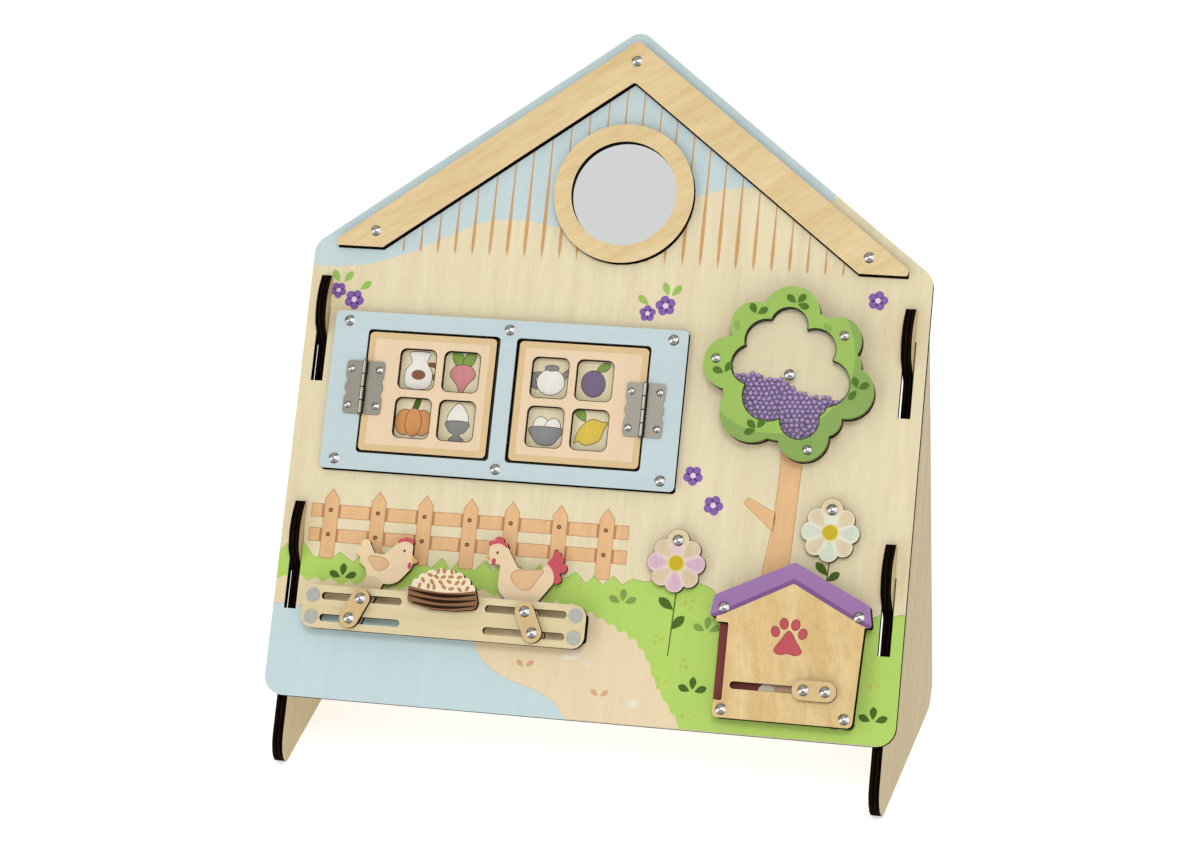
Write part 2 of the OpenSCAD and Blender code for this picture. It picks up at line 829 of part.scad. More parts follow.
// Puts a piece drawn about the left hen's pivot on either side
module at_hen(side) {
    on_board() translate([bar_x + side * hen_x, pivot_y, 0]) scale_x(-side) children();
}

// Holes for the rivet that the hen rocks on and for the rivet that guides it
module hen_holes() {
    circle(d = slide_shank_d + 2 * turn_play);
    translate([-guide_x, guide_y]) circle(d = slide_shank_d + 2 * shank_play);
}

// A leg behind the bar, from the guide rivet up to a place in the body
module leg_outline(top) {
    low = [-guide_x, guide_y];
    side = turned([0, link_r], atan2(top[1] - low[1], top[0] - low[0]));
    translate(low) circle(r = link_r);
    polygon([low + side, low - side, top - side, top + side]);
}

// Round lobes, each given as x, y and radius
module lobes(list) {
    for (lobe = list) translate([lobe[0], lobe[1]]) circle(r = lobe[2]);
}

module small_hen_outline() {
    leg_outline([6, 14]);
    lobes([[18.2, 34.9, 1.7], [21.2, 35.7, 1.9], [24, 34.8, 1.7]]); // comb
    lobes([[-2.3, 31.8, 2.8], [-4.8, 27.7, 2.7]]); // tail
    polygon(rounded([
        [1, 11, 5], [17, 9.5, 10], [25.6, 19.8, 1.5], [26.4, 22.8, 0.3], [29.6, 23.6, 0.6],
        [25.4, 27.6, 1.5], [25.4, 34.6, 2.5], [17, 34.6, 3], [9, 26.4, 5], [3.4, 27, 1],
        [-0.4, 33.6, 0], [-4.8, 31, 0], [-5, 21.6, 1.5], [-1.2, 18.4, 2]
    ]));
}

module large_hen_outline() {
    leg_outline([4, 10]);
    lobes([[24, 37.2, 2.3], [20.3, 39.2, 2.7], [16.8, 37, 1.8]]); // comb
    lobes([[-13.6, 33.9, 2.3], [-16.2, 31.2, 2], [-17.2, 26.6, 2.8], [-14.9, 20.2, 2.6]]); // tail
    polygon(rounded([
        [11, 4, 9], [18.6, 12, 8], [18.4, 26, 1], [24.4, 26, 1.5], [27.8, 29.2, 0.6],
        [25.6, 31.6, 0.6], [25.4, 37, 3], [15.6, 37, 3], [7.6, 24.2, 3], [-5.6, 24.8, 2],
        [-11.6, 33, 0], [-15, 32, 0], [-16.4, 22, 0], [-12.8, 17.2, 1.5], [-3.2, 4, 8]
    ]));
}

module hen(side) {
    color("Bisque") at_hen(side) translate([0, 0, slider_z]) linear_extrude(slider_t)
        difference() {
            if (side == left)
                small_hen_outline();
            else
                large_hen_outline();
            hen_holes();
        }
}

module hen_link(side) {
    color(plain_ply) at_hen(side) translate([0, 0, link_z]) linear_extrude(slider_t)
        difference() {
            rotate(atan2(guide_y, -guide_x)) translate([link_pitch / 2, 0])
                round_slot(link_pitch + 2 * link_r, 2 * link_r);
            hen_holes();
        }
}

module slide_rivet() {
    rivet(slider_z, link_front, slide_shank_d);
}

module hen_pivot_rivet(side) {
    at_hen(side) slide_rivet();
}

module hen_guide_rivet(side) {
    at_hen(side) translate([-guide_x, guide_y, 0]) slide_rivet();
}

module feed_bowl() {
    color("SaddleBrown") on_board() translate([bar_x, bar_y, bar_front])
        linear_extrude(bar_t) union() {
            lobes([
                [-15.6, 17, 2.7], [-12, 20, 2.9], [-7.6, 22.2, 3.1], [-2.3, 23.4, 3.2],
                [3.2, 23.3, 3.1], [8.3, 21.9, 3], [12.6, 19.2, 2.9], [15.9, 15.8, 2.6]
            ]);
            polygon(rounded([
                [-20.2, 15.4, 1], [-20, 6.2, 2.5], [-6, 3, 20], [8, 3, 20], [19.6, 4.8, 2.5],
                [20.6, 9, 4], [18.6, 15.6, 1], [14.6, 16.4, 0], [7.6, 20.4, 0], [0.4, 22, 0],
                [-7, 20.8, 0], [-14.4, 16.6, 0]
            ]));
        }
}

// Kennel -------------------------------------------------------------------------------

// The kennel's outline with an opening in its left wall that reaches in to cut_x
module kennel_outline(cut_x) {
    low = kennel_slide_mid - kennel_channel_h / 2;
    high = kennel_slide_mid + kennel_channel_h / 2;
    eave_top = [kennel_eave_x - kennel_eave_lean, kennel_eave_y + kennel_eave_h];
    polygon(rounded([
        [0, kennel_h, 3], [-eave_top[0], eave_top[1], 2],
        [-kennel_eave_x, kennel_eave_y, 1.5], [-kennel_wall_x, kennel_eave_y, 0],
        [-kennel_wall_x, high, 0.5], [cut_x, high, 1], [cut_x, low, 1],
        [-kennel_foot_x, low, 0.5], [-kennel_foot_x, 0, 3], [kennel_foot_x, 0, 3],
        [kennel_wall_x, kennel_eave_y, 0], [kennel_eave_x, kennel_eave_y, 1.5],
        [eave_top[0], eave_top[1], 2]
    ]));
}

module at_kennel(z) {
    on_board() translate([kennel_x, kennel_y, z]) children();
}

module kennel_front() {
    track_low = kennel_rivet_x - kennel_travel - track_h / 2;
    track_high = kennel_rivet_x + kennel_link_pitch + track_h / 2;
    color(plain_ply) at_kennel(slide_gap) linear_extrude(bar_t) difference() {
        kennel_outline(-kennel_cut_x);
        translate([(track_low + track_high) / 2, kennel_track_y])
            round_slot(track_high - track_low, track_h);
        holes(kennel_rivets_at, shank_d + 2 * shank_play);
    }
}

module kennel_spacer() {
    channel_end = kennel_slide_left + kennel_slide_w + kennel_end_play;
    color(plain_ply) at_kennel(0) linear_extrude(slide_gap) difference() {
        kennel_outline(channel_end);
        holes(kennel_rivets_at, shank_d + 2 * shank_play);
    }
}

module kennel_rivets() {
    at_kennel(0)
        for (p = kennel_rivets_at)
            translate(p) rivet(-board_t, bar_front);
}

function kennel_slide_rivet(i) = [kennel_rivet_x + i * kennel_link_pitch, kennel_track_y];

module kennel_slide_panel() {
    color("Maroon") at_kennel(slider_z) linear_extrude(slider_t) difference() {
        translate([kennel_slide_left + kennel_slide_w / 2, kennel_slide_mid])
            rounded_rect(kennel_slide_w, kennel_slide_h, kennel_slide_corner_r);
        holes([for (i = [0, 1]) kennel_slide_rivet(i)], slide_shank_d + 2 * shank_play);
    }
}

module kennel_slide_link() {
    color(plain_ply) at_kennel(link_z) linear_extrude(slider_t) difference() {
        translate([kennel_rivet_x + kennel_link_pitch / 2, kennel_track_y])
            round_slot(kennel_link_pitch + 2 * link_r + kennel_link_extra, 2 * link_r);
        holes([for (i = [0, 1]) kennel_slide_rivet(i)], slide_shank_d + 2 * shank_play);
    }
}

module kennel_slide_rivets() {
    at_kennel(0)
        for (i = [0, 1])
            translate(kennel_slide_rivet(i)) slide_rivet();
}

front_board();
side_panel(left);  // side_panel_left
side_panel(right);  // side_panel_right
roof_trim();
roof_trim_rivets();
mirror_ring();
mirror_disc();
window_frame();
window_frame_rivets();
shutter(left);  // shutter_left
shutter(right);  // shutter_right
hinge_leaf(left, 1);  // hinge_left_frame_leaf
hinge_leaf(left, -1);  // hinge_left_shutter_leaf
hinge_pin(left);  // hinge_left_pin
hinge_rivets(left, 1);  // hinge_left_frame_rivets
hinge_rivets(left, -1);  // hinge_left_shutter_rivets
hinge_leaf(right, 1);  // hinge_right_frame_leaf
hinge_leaf(right, -1);  // hinge_right_shutter_leaf
hinge_pin(right);  // hinge_right_pin
hinge_rivets(right, 1);  // hinge_right_frame_rivets
hinge_rivets(right, -1);  // hinge_right_shutter_rivets
tree_back_plate();
tree_chamber_ring();
tree_window();
tree_front_ring();
tree_rivets();
tree_beads();
tree_axle_rivet();
tree_washer();
flower(flower_left_at);  // flower_left
flower_rivet(flower_left_at);  // flower_left_rivet
flower_washer(flower_left_at);  // flower_left_washer
flower(flower_right_at);  // flower_right
flower_rivet(flower_right_at);  // flower_right_rivet
flower_washer(flower_right_at);  // flower_right_washer
slide_bar();
bar_spacers();
bar_studs();
feed_bowl();
hen(left);  // hen_left
hen_link(left);  // hen_left_link
hen_pivot_rivet(left);  // hen_left_pivot_rivet
hen_guide_rivet(left);  // hen_left_guide_rivet
hen(right);  // hen_right
hen_link(right);  // hen_right_link
hen_pivot_rivet(right);  // hen_right_pivot_rivet
hen_guide_rivet(right);  // hen_right_guide_rivet
kennel_front();
kennel_spacer();
kennel_rivets();
kennel_slide_panel();
kennel_slide_link();
kennel_slide_rivets();
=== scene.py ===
import bmesh
import bpy
import math
import random
from mathutils import Matrix, Vector


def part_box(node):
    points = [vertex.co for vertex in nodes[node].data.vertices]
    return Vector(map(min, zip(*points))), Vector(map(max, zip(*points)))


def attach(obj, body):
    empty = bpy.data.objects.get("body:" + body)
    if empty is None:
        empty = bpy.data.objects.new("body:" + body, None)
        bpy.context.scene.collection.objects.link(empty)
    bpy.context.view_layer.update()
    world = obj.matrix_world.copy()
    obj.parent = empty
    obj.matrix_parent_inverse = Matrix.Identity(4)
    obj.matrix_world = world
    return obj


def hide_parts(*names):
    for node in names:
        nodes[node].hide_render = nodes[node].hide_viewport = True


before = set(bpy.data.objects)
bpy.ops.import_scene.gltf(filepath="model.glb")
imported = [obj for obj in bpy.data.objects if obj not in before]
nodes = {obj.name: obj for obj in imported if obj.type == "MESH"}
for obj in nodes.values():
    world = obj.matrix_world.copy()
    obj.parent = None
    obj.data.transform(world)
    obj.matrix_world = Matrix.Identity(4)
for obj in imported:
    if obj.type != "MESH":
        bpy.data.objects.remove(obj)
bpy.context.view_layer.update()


# ---- Front board ----
# A house-shaped sheet of 6 mm birch plywood, cut by laser, so its edges are burnt dark. The
# garden is printed straight on the pale face, and the grain shows through the ink. It leans
# back on the side panels' hooks.

STAND_Y, LIFT = -98.3562142, 43.3  # where the board's lower front edge lies, in mm
RECLINE = math.radians(30)
BOARD_W, BOARD_H = 360, 400
PLY_PAIR = 2.4  # two plies together
OPENINGS_X, WINDOW_Y = (-101.7, -13.9), 177.4  # middles of the two shutters' openings
INK_RIM = 0.5  # a print's darker rim
UP = Vector((0, math.sin(RECLINE), math.cos(RECLINE)))
OUT = Vector((0, -math.cos(RECLINE), math.sin(RECLINE)))
# From the board's own millimetres (across, up, out of its face) to the shared frame
BOARD = Matrix.Scale(0.001, 4) @ Matrix((
    (1, UP.x, OUT.x, 0),
    (0, UP.y, OUT.y, STAND_Y),
    (0, UP.z, OUT.z, LIFT),
    (0, 0, 0, 1),
))


def linear(code):
    """A hex colour as linear RGBA"""
    parts = [int(code[i:i + 2], 16) / 255 for i in (1, 3, 5)]
    return [c / 12.92 if c < 0.04045 else ((c + 0.055) / 1.055) ** 2.4 for c in parts] + [1]


def add(tree, kind, inputs=None, out=0, **settings):
    """Adds a node, a shader node if its kind says no more, sets or links its inputs, and
    gives one of its outputs, if it has any"""
    node = tree.nodes.new(kind if "Node" in kind else "ShaderNode" + kind)
    for key, value in settings.items():
        setattr(node, key, value)
    for key, value in (inputs or {}).items():
        if isinstance(value, bpy.types.NodeSocket):
            tree.links.new(value, node.inputs[key])
        else:
            plain = linear(value) if str(value).startswith("#") else value
            node.inputs[key].default_value = plain
    return node.outputs[out] if node.outputs else None


def material(name):
    """An empty material and its node tree"""
    made = bpy.data.materials.new(name)
    made.use_nodes = True
    made.node_tree.nodes.clear()
    return made, made.node_tree


def board_place(tree):
    """Place on the board in millimetres: across, up and out"""
    turn = Matrix.Rotation(-math.pi / 3, 4, "X")
    moved = turn @ Vector((0, -STAND_Y, -LIFT))
    coordinates = add(tree, "TexCoord", out="Object")
    return add(tree, "Mapping", {
        "Vector": coordinates, "Location": moved, "Rotation": (-math.pi / 3, 0, 0),
        "Scale": (1000, 1000, 1000),
    })


def facing_way(tree, way):
    """How straight each face looks in a direction: 1 if fully, -1 if straight away"""
    normal = add(tree, "TexCoord", out="Normal")
    return add(tree, "VectorMath", {0: normal, 1: way}, "Value",
               operation="DOT_PRODUCT")


def surface(tree, colour, rough, relief, strength, depth=0.00005, more=None):
    """Ends a material: its shader, with a relief of a depth in metres"""
    bump = add(tree, "Bump", {
        "Strength": strength, "Distance": depth, "Height": relief})
    shader = add(tree, "BsdfPrincipled", {
        "Base Color": colour, "Roughness": rough, "Normal": bump, **(more or {})})
    add(tree, "OutputMaterial", {"Surface": shader})


def plywood(name, light="#EADDB9", dark="#DBCDA6", paint=None, stretch=(1, 0.045, 1),
            facing=OUT, burnt=True, cover=0.96, turn=0.0, gloss=0.22):
    """Laser-cut birch plywood: a pale satin face with its grain stretched one way, inks that
    let the grain through, and dull edges burnt almost black"""
    made, tree = material(name)
    place = board_place(tree)
    along = place if not turn else add(tree, "VectorRotate", {
        "Vector": place, "Angle": -turn}, rotation_type="Z_AXIS")
    grain_place = add(tree, "VectorMath", {0: along, 1: stretch}, operation="MULTIPLY")
    # Across the grain: lines 0.9 mm apart, bands of 9 mm, fibres of 0.4 mm, mottles of 3 mm
    fine = add(tree, "TexNoise", {
        "Vector": grain_place, "Scale": 1.1, "Detail": 5, "Roughness": 0.62})
    broad = add(tree, "TexNoise", {
        "Vector": grain_place, "Scale": 0.11, "Detail": 3, "Distortion": 0.25})
    fibre_place = add(tree, "VectorMath", {0: along, 1: [
        c if c >= 1 else c ** 0.6 for c in stretch]}, operation="MULTIPLY")
    fibre = add(tree, "TexNoise", {
        "Vector": fibre_place, "Scale": 2.6, "Detail": 3, "Roughness": 0.7})
    mottle = add(tree, "TexNoise", {"Vector": fibre_place, "Scale": 0.35, "Detail": 4})
    bands = add(tree, "Mix", {0: 0.62, 2: fine, 3: broad})
    flecks = add(tree, "Mix", {0: 0.5, 2: fibre, 3: mottle})
    grain = add(tree, "Mix", {0: 0.45, 2: bands, 3: flecks})
    spread = add(tree, "MapRange", {0: grain, 1: 0.38, 2: 0.62})
    wood = add(tree, "Mix", {0: spread, 6: dark, 7: light}, 2, data_type="RGBA")
    face = wood
    for mask, colour in (paint(tree, place) if paint else ()):
        shade = add(tree, "MapRange", {0: spread, 3: 0.94, 4: 1.02})
        ink = add(tree, "Mix", {0: 1.0, 6: colour, 7: shade}, 2, data_type="RGBA",
                  blend_type="MULTIPLY")
        amount = add(tree, "Math", {0: mask, 1: cover}, operation="MULTIPLY")
        face = add(tree, "Mix", {0: amount, 6: face, 7: ink}, 2, data_type="RGBA")
    rough = add(tree, "MapRange", {0: fine, 3: 0.42, 4: 0.62})
    colour = face
    if burnt:
        across = facing_way(tree, facing)
        level = add(tree, "Math", {0: across}, operation="ABSOLUTE")
        edge = add(tree, "Math", {0: level, 1: 0.85}, operation="LESS_THAN")
        front = add(tree, "Math", {0: across, 1: 0.6}, operation="GREATER_THAN")
        # Ink lies on the front only
        bare = add(tree, "Mix", {0: front, 6: wood, 7: face}, 2, data_type="RGBA")
        # Soot lies in streaks along the plies, and the hooks' edges show the plies best
        streaks, ply_axis, paler = ((0.3, 0.3, 1.6), 2, 0.12) if facing is OUT else (
            (1.6, 0.3, 0.3), 0, 0.7)
        sooty_place = add(tree, "VectorMath", {0: place, 1: streaks},
                          operation="MULTIPLY")
        soot = add(tree, "TexNoise", {"Vector": sooty_place, "Scale": 0.7, "Detail": 4})
        char = add(tree, "MapRange", {0: soot, 1: 0.3, 2: 0.72})
        # Every second ply shows its end grain and burns darker
        deep = add(tree, "SeparateXYZ", {0: place}, ply_axis)
        layers = add(tree, "Math", {0: deep, 1: 2 * math.pi / PLY_PAIR},
                     operation="MULTIPLY")
        ply = add(tree, "Math", {0: layers}, operation="SINE")
        pale = add(tree, "MapRange", {0: ply, 1: 0.2, 2: 1, 3: 0, 4: paler})
        char = add(tree, "Math", {0: char, 1: pale}, operation="MULTIPLY")
        burn = add(tree, "Mix", {0: char, 6: "#060402", 7: "#3A2415"}, 2,
                   data_type="RGBA")
        colour = add(tree, "Mix", {0: edge, 6: bare, 7: burn}, 2, data_type="RGBA")
        rough = add(tree, "Mix", {0: edge, 2: rough, 3: 0.8})
        gloss = add(tree, "Mix", {0: edge, 2: gloss, 3: 0.02})
    surface(tree, colour, rough, fine, 0.25, more={"Specular IOR Level": gloss})
    return made


def dress(mat, *names):
    """Gives the frame's pieces their material"""
    for name in names:
        nodes[name].data.materials[0] = mat


def below(tree, place, points, handles="VECTOR"):
    """Mask of what lies below a line drawn through points on the board"""
    edge = BOARD_W / 2
    axes = add(tree, "SeparateXYZ", {0: place}).node.outputs
    across = add(tree, "MapRange", {0: axes[0], 1: -edge, 2: edge})
    line = add(tree, "FloatCurve", {"Value": across})
    curve = line.node.mapping.curves[0]
    ends = [(-edge, points[0][1]), *points, (edge, points[-1][1])]
    for i, (x, y) in enumerate(ends):
        spot = ((x + edge) / BOARD_W, y / BOARD_H)
        if 0 < i < len(ends) - 1:
            curve.points.new(*spot)
        else:
            curve.points[0 if i == 0 else -1].location = spot
    for point in curve.points:
        point.handle_type = handles
    line.node.mapping.update()
    height = add(tree, "Math", {0: line, 1: BOARD_H}, operation="MULTIPLY")
    return add(tree, "Math", {0: axes[1], 1: height}, operation="LESS_THAN")


def inside_rect(tree, place, x, y, half_w, half_h):
    """Mask of a rectangle on the board"""
    axes = add(tree, "SeparateXYZ", {0: place}).node.outputs
    wide = add(tree, "Math", {0: axes[0], 1: x, 2: half_w}, operation="COMPARE")
    tall = add(tree, "Math", {0: axes[1], 1: y, 2: half_h}, operation="COMPARE")
    return add(tree, "Math", {0: wide, 1: tall}, operation="MULTIPLY")


def tufts(points, step, depth, seed):
    """A jagged edge of grass along a line through points"""
    chance = random.Random(seed)
    line, x = [], points[0][0]
    while x < points[-1][0]:
        for (x0, y0), (x1, y1) in zip(points, points[1:]):
            if x0 <= x < x1:
                y = y0 + (y1 - y0) * (x - x0) / (x1 - x0)
        line.append((x, y - depth * chance.uniform(0.5, 1)))
        x += step * chance.uniform(0.35, 0.65)
        line.append((x, y + depth * chance.uniform(0.2, 1)))
        x += step * chance.uniform(0.35, 0.8)
    return line


def garden(tree, place):
    """Painted shade in the narrow gaps round the shutters in the window's openings, then the inks
    from the top down: sky, grass, sand, pond
    """
    sky_edge = [(-180, 250), (-150, 252), (-120, 262), (-100, 272), (-80, 281), (-60, 283),
                (-30, 280), (30, 296), (42, 302), (60, 308), (78, 309), (104, 305), (121, 304),
                (125, 399)]
    grass_top = tufts([(-180, 84), (-150, 82), (-60, 82), (20, 80), (30, 80)], 11, 4.5, 4)
    grass_top += [(34, 80), (44, 83), (60, 83), (72, 79), (78, 72), (150, 68)]
    grass_top += tufts([(156, 70), (168, 73), (180, 70)], 9, 2.5, 7)
    sand_top = tufts([(-180, 68), (-120, 66), (-60, 68), (-6, 63)], 9, 2.2, 2)
    sand_top += [(2, 60), (5, 61.5), (8, 57.5), (12, 58.5), (15, 54.6), (19, 55.5), (21, 51),
                 (25.5, 52), (28, 47.6), (32, 48), (33.5, 43), (37, 42.6), (38.5, 36.6),
                 (41, 35.6), (42, 29), (44.5, 27.6), (45.6, 21.6), (48.5, 21), (50, 15),
                 (53, 14.4), (55, 8.6), (58, 7.6), (60.5, 0)]
    pond_top = [(-180, 52), (-150, 50), (-120, 51), (-70, 46), (-62, 40), (-55, 30), (-48, 24),
                (-40, 20), (-30, 17), (-18, 13), (-10, 8), (-2, 0)]
    grass_rim = [(x, y + INK_RIM) for x, y in grass_top]
    pond_rim = [(x, y + INK_RIM) for x, y in pond_top]
    # Painted shade: dark bands on the board in the narrow gaps round the shutters, where shade
    # falls
    soot = []
    for middle in OPENINGS_X:
        outer = inside_rect(tree, place, middle, WINDOW_Y, 38.9, 35.9)
        inner = inside_rect(tree, place, middle, WINDOW_Y, 35.6, 34.2)
        soot.append((add(tree, "Math", {0: outer, 1: inner}, operation="SUBTRACT"),
                     "#2B1E15"))
    below_sky = below(tree, place, sky_edge, "AUTO_CLAMPED")
    sky = add(tree, "Math", {0: 1.0, 1: below_sky}, operation="SUBTRACT")
    return soot + [
        (sky, "#C3D5D6"),
        (below(tree, place, grass_rim), "#8FAE55"),
        (below(tree, place, grass_top), "#B4D464"),
        (below(tree, place, sand_top), "#EAD4B0"),
        (below(tree, place, pond_rim, "AUTO_CLAMPED"), "#CFC3A6"),
        (below(tree, place, pond_top, "AUTO_CLAMPED"), "#C4D9DB"),
    ]


dress(plywood("printed birch plywood", paint=garden), "front_board")


# ---- Side panels ----
# Two sheets of 6 mm plywood that prop the board up. Their faces are bare wood, and their
# hooks reach through the board's slots and show the burnt edge in front of it.

dress(plywood("side panel plywood", "#CDBB92", "#BDA97E", stretch=(1, 0.04, 0.9),
              facing=(1, 0, 0)), "side_panel_left", "side_panel_right")


# ---- Roof trim, mirror ring and gable stripes ----
# 4 mm plywood glued on the gable, bare and a little warmer than the board, over thin
# printed stripes like the cladding of a gable.

MIRROR_Y, RING_R = 301.3, 40.7

dress(plywood("trim plywood", "#E9D1A3", "#D2B57F", stretch=(0.07, 0.8, 1),
              turn=math.radians(32)),
      "roof_trim", "mirror_ring", "tree_chamber_ring", "bar_spacers", "kennel_spacer")


def slab(mesh, outlines, low, high, index=0):
    """Adds closed flat shapes to a mesh, from low to high above the board"""
    for outline in outlines:
        bottom = [mesh.verts.new((x, y, low)) for x, y in outline]
        top = [mesh.verts.new((x, y, high)) for x, y in outline]
        faces = [mesh.faces.new(top), mesh.faces.new(bottom[::-1])]
        for i in range(len(top)):
            faces.append(mesh.faces.new((bottom[i - 1], bottom[i], top[i], top[i - 1])))
        for face in faces:
            face.material_index = index


def turned_out(outline):
    """The outline, running anticlockwise"""
    area = sum(a[0] * b[1] - b[0] * a[1] for a, b in zip(outline, outline[1:] + outline[:1]))
    return outline if area > 0 else outline[::-1]


def new_object(name, data):
    """An object at the origin, put in the scene"""
    made = bpy.data.objects.new(name, data)
    bpy.context.scene.collection.objects.link(made)
    return made


def mesh_data(name, mesh):
    """A mesh kept under a name"""
    data = bpy.data.meshes.new(name)
    mesh.to_mesh(data)
    mesh.free()
    return data


def piece(name, mesh, materials, body="board"):
    """Makes a finished object of a mesh drawn in the board's millimetres"""
    bmesh.ops.recalc_face_normals(mesh, faces=mesh.faces)
    data = mesh_data(name, mesh)
    data.transform(BOARD)
    made = new_object(name, data)
    for one in materials:
        data.materials.append(one)
    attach(made, body)
    return made


def prints(name, layers, front=0, body="board"):
    """Ink shapes on a face at a height: each layer has its ink, outlines and thickness"""
    mesh = bmesh.new()
    for index, (_, outlines, thick) in enumerate(layers):
        slab(mesh, [turned_out(o) for o in outlines], front, front + thick, index)
    return piece(name, mesh, [layer[0] for layer in layers], body)


def ink(name, colour, shade=0.9):
    """Printed ink: flat colour that lets a little grain through, satin, or matt if it is dark"""
    red, green, blue = (int(colour[i:i + 2], 16) for i in (1, 3, 5))
    darker = "#" + "".join(f"{round(part * shade):02X}" for part in (red, green, blue))
    dark = red < 110
    return plywood(name, colour, darker, burnt=False, gloss=0.05 if dark else 0.22)


def copies(name, shape, places, mat, wobble, seed, body="board"):
    """Geometry Nodes: a piece of one shape copied to places, each with its turn and scale"""
    points = bpy.data.meshes.new(name + "_places")
    points.from_pydata([p[0] for p in places], [], [])
    turn = points.attributes.new("turn", "FLOAT", "POINT")
    turn.data.foreach_set("value", [p[1] for p in places])
    size = points.attributes.new("size", "FLOAT_VECTOR", "POINT")
    size.data.foreach_set("vector", [c for p in places for c in p[2]])
    holder = new_object(name + "_holder", points)
    tree = bpy.data.node_groups.new(name + "_copies", "GeometryNodeTree")
    values = {"Shape": shape, "Material": mat, "Wobble": wobble, "Seed": seed}
    tree.interface.new_socket("Places", in_out="INPUT", socket_type="NodeSocketGeometry")
    modifier_keys = {
        label: tree.interface.new_socket(
            label, in_out="INPUT", socket_type="NodeSocket" + kind).identifier
        for label, kind in zip(values, ("Object", "Material", "Float", "Int"))}
    tree.interface.new_socket("Geometry", in_out="OUTPUT", socket_type="NodeSocketGeometry")
    given = tree.nodes.new("NodeGroupInput").outputs
    shape_in = add(tree, "GeometryNodeObjectInfo", {"Object": given["Shape"]}, "Geometry")
    angle = add(tree, "GeometryNodeInputNamedAttribute", {"Name": "turn"}, data_type="FLOAT")
    least = add(tree, "Math", {0: given["Wobble"], 1: -1.0}, operation="MULTIPLY")
    drift = add(tree, "FunctionNodeRandomValue", {
        2: least, 3: given["Wobble"], "Seed": given["Seed"]}, 1, data_type="FLOAT")
    total = add(tree, "Math", {0: angle, 1: drift}, operation="ADD")
    spin = add(tree, "CombineXYZ", {"Z": total})
    scale = add(tree, "GeometryNodeInputNamedAttribute", {"Name": "size"},
                data_type="FLOAT_VECTOR")
    placed = add(tree, "GeometryNodeInstanceOnPoints", {
        "Points": given["Places"], "Instance": shape_in, "Rotation": spin, "Scale": scale})
    real = add(tree, "GeometryNodeRealizeInstances", {"Geometry": placed})
    painted = add(tree, "GeometryNodeSetMaterial", {
        "Geometry": real, "Material": given["Material"]})
    add(tree, "NodeGroupOutput", {"Geometry": painted})
    modifier = holder.modifiers.new("copies", "NODES")
    modifier.node_group = tree
    for label, key in modifier_keys.items():
        modifier[key] = values[label]
    bpy.context.view_layer.update()
    made = bpy.data.meshes.new_from_object(
        holder.evaluated_get(bpy.context.evaluated_depsgraph_get()))
    for spare in (holder, shape):
        bpy.data.objects.remove(spare)
    mesh = bmesh.new()
    mesh.from_mesh(made)
    bpy.data.meshes.remove(made)
    return piece(name, mesh, [mat], body)


def shape_of(outline, thick):
    """A loose object of one flat shape, to be copied"""
    mesh = bmesh.new()
    slab(mesh, [turned_out(outline)], 0, thick)
    return new_object("shape", mesh_data("shape", mesh))


gable_peak, gable_slope, gable_low = 367.07, 0.75944, 261.0
stripe_pitch, stripe_shift = 10.25, 6.2
stripe_places = []
for i in range(-13, 13):
    x = i * stripe_pitch + stripe_shift
    top = gable_peak - gable_slope * abs(x)
    tall = top - gable_low
    stripe_places.append(((x, gable_low, 0), 0.0, (0.5 + 0.5 * min(1, tall / 50), tall, 1)))
stripe = shape_of([(-0.3, 1), (-0.6, 0.62), (-1.05, 0.3), (-0.8, 0.08), (0, 0), (0.8, 0.08),
                   (1.05, 0.3), (0.6, 0.62), (0.3, 1)], 0.1)
copies("gable_stripes", stripe, stripe_places, ink("brown stripe ink", "#D5A26C"), 0.004, 3)

# Painted shadow: dark lines on the board along the lower edges of the plates glued to it, a little
# to the right, where their contact shadow falls
trim_line = [(-166, 262), (-138.4, 262), (0, 367.1), (138.4, 262), (166, 262), (166, 266),
             (0, 392.1), (-166, 266)]
ring_line = [(RING_R * math.cos(k * math.pi / 24),
              MIRROR_Y + RING_R * math.sin(k * math.pi / 24)) for k in range(48)]
frame_line = [(-160.6, 132), (-159.6, 131.2), (44.4, 131.2), (45.7, 132.5), (45.7, 222.6),
              (44.5, 222.6), (44.5, 132.5)]
contact_shadow_ink = ink("soot", "#1D140E", 0.6)
shadow_shifts = ((trim_line, 0.1, -0.75), (ring_line, 0.3, -0.4), (frame_line, 0.15, -0.5))
prints("soot_lines", [
    (contact_shadow_ink, [[(x + dx, y + dy) for x, y in line] for line, dx, dy in shadow_shifts], 0.12)])


# ---- Mirror ----
# A child-safe mirror: a 1 mm acrylic disc, silvered on its back, that the ring holds down
# on the board. It has the faintest ripple and a little haze.

made, tree = material("acrylic mirror")
ripple = add(tree, "TexNoise", {"Vector": board_place(tree), "Scale": 0.03, "Detail": 1})
haze = add(tree, "MapRange", {0: ripple, 3: 0.015, 4: 0.04})
surface(tree, "#D1D4D3", haze, ripple, 0.05, 0.0002, {"Metallic": 1.0})
dress(made, "mirror_disc")


# ---- Fence, tree trunk and small plants ----
# Printed on the board: a picket fence behind the hens, the trunk under the turning tree,
# stems under the swinging flowers, and leaves and blossoms between them.

def grown(outline, distance):
    """The outline moved outwards by a distance"""
    outline = turned_out(outline)
    moved = []
    for i, here in enumerate(outline):
        before, after = Vector(outline[i - 1]), Vector(outline[(i + 1) % len(outline)])
        into, away = (Vector(here) - before).normalized(), (after - Vector(here)).normalized()
        side = Vector((into.y + away.y, -into.x - away.x))
        side /= max(side.length, 1e-6)
        reach = distance / max(side.dot(Vector((into.y, -into.x))), 0.5)
        moved.append(tuple(Vector(here) + side * reach))
    return moved


def put(x, y, turn, points):
    """Points turned in degrees and moved to a place"""
    c, d = math.cos(math.radians(turn)), math.sin(math.radians(turn))
    return [(x + p * c - q * d, y + p * d + q * c) for p, q in points]


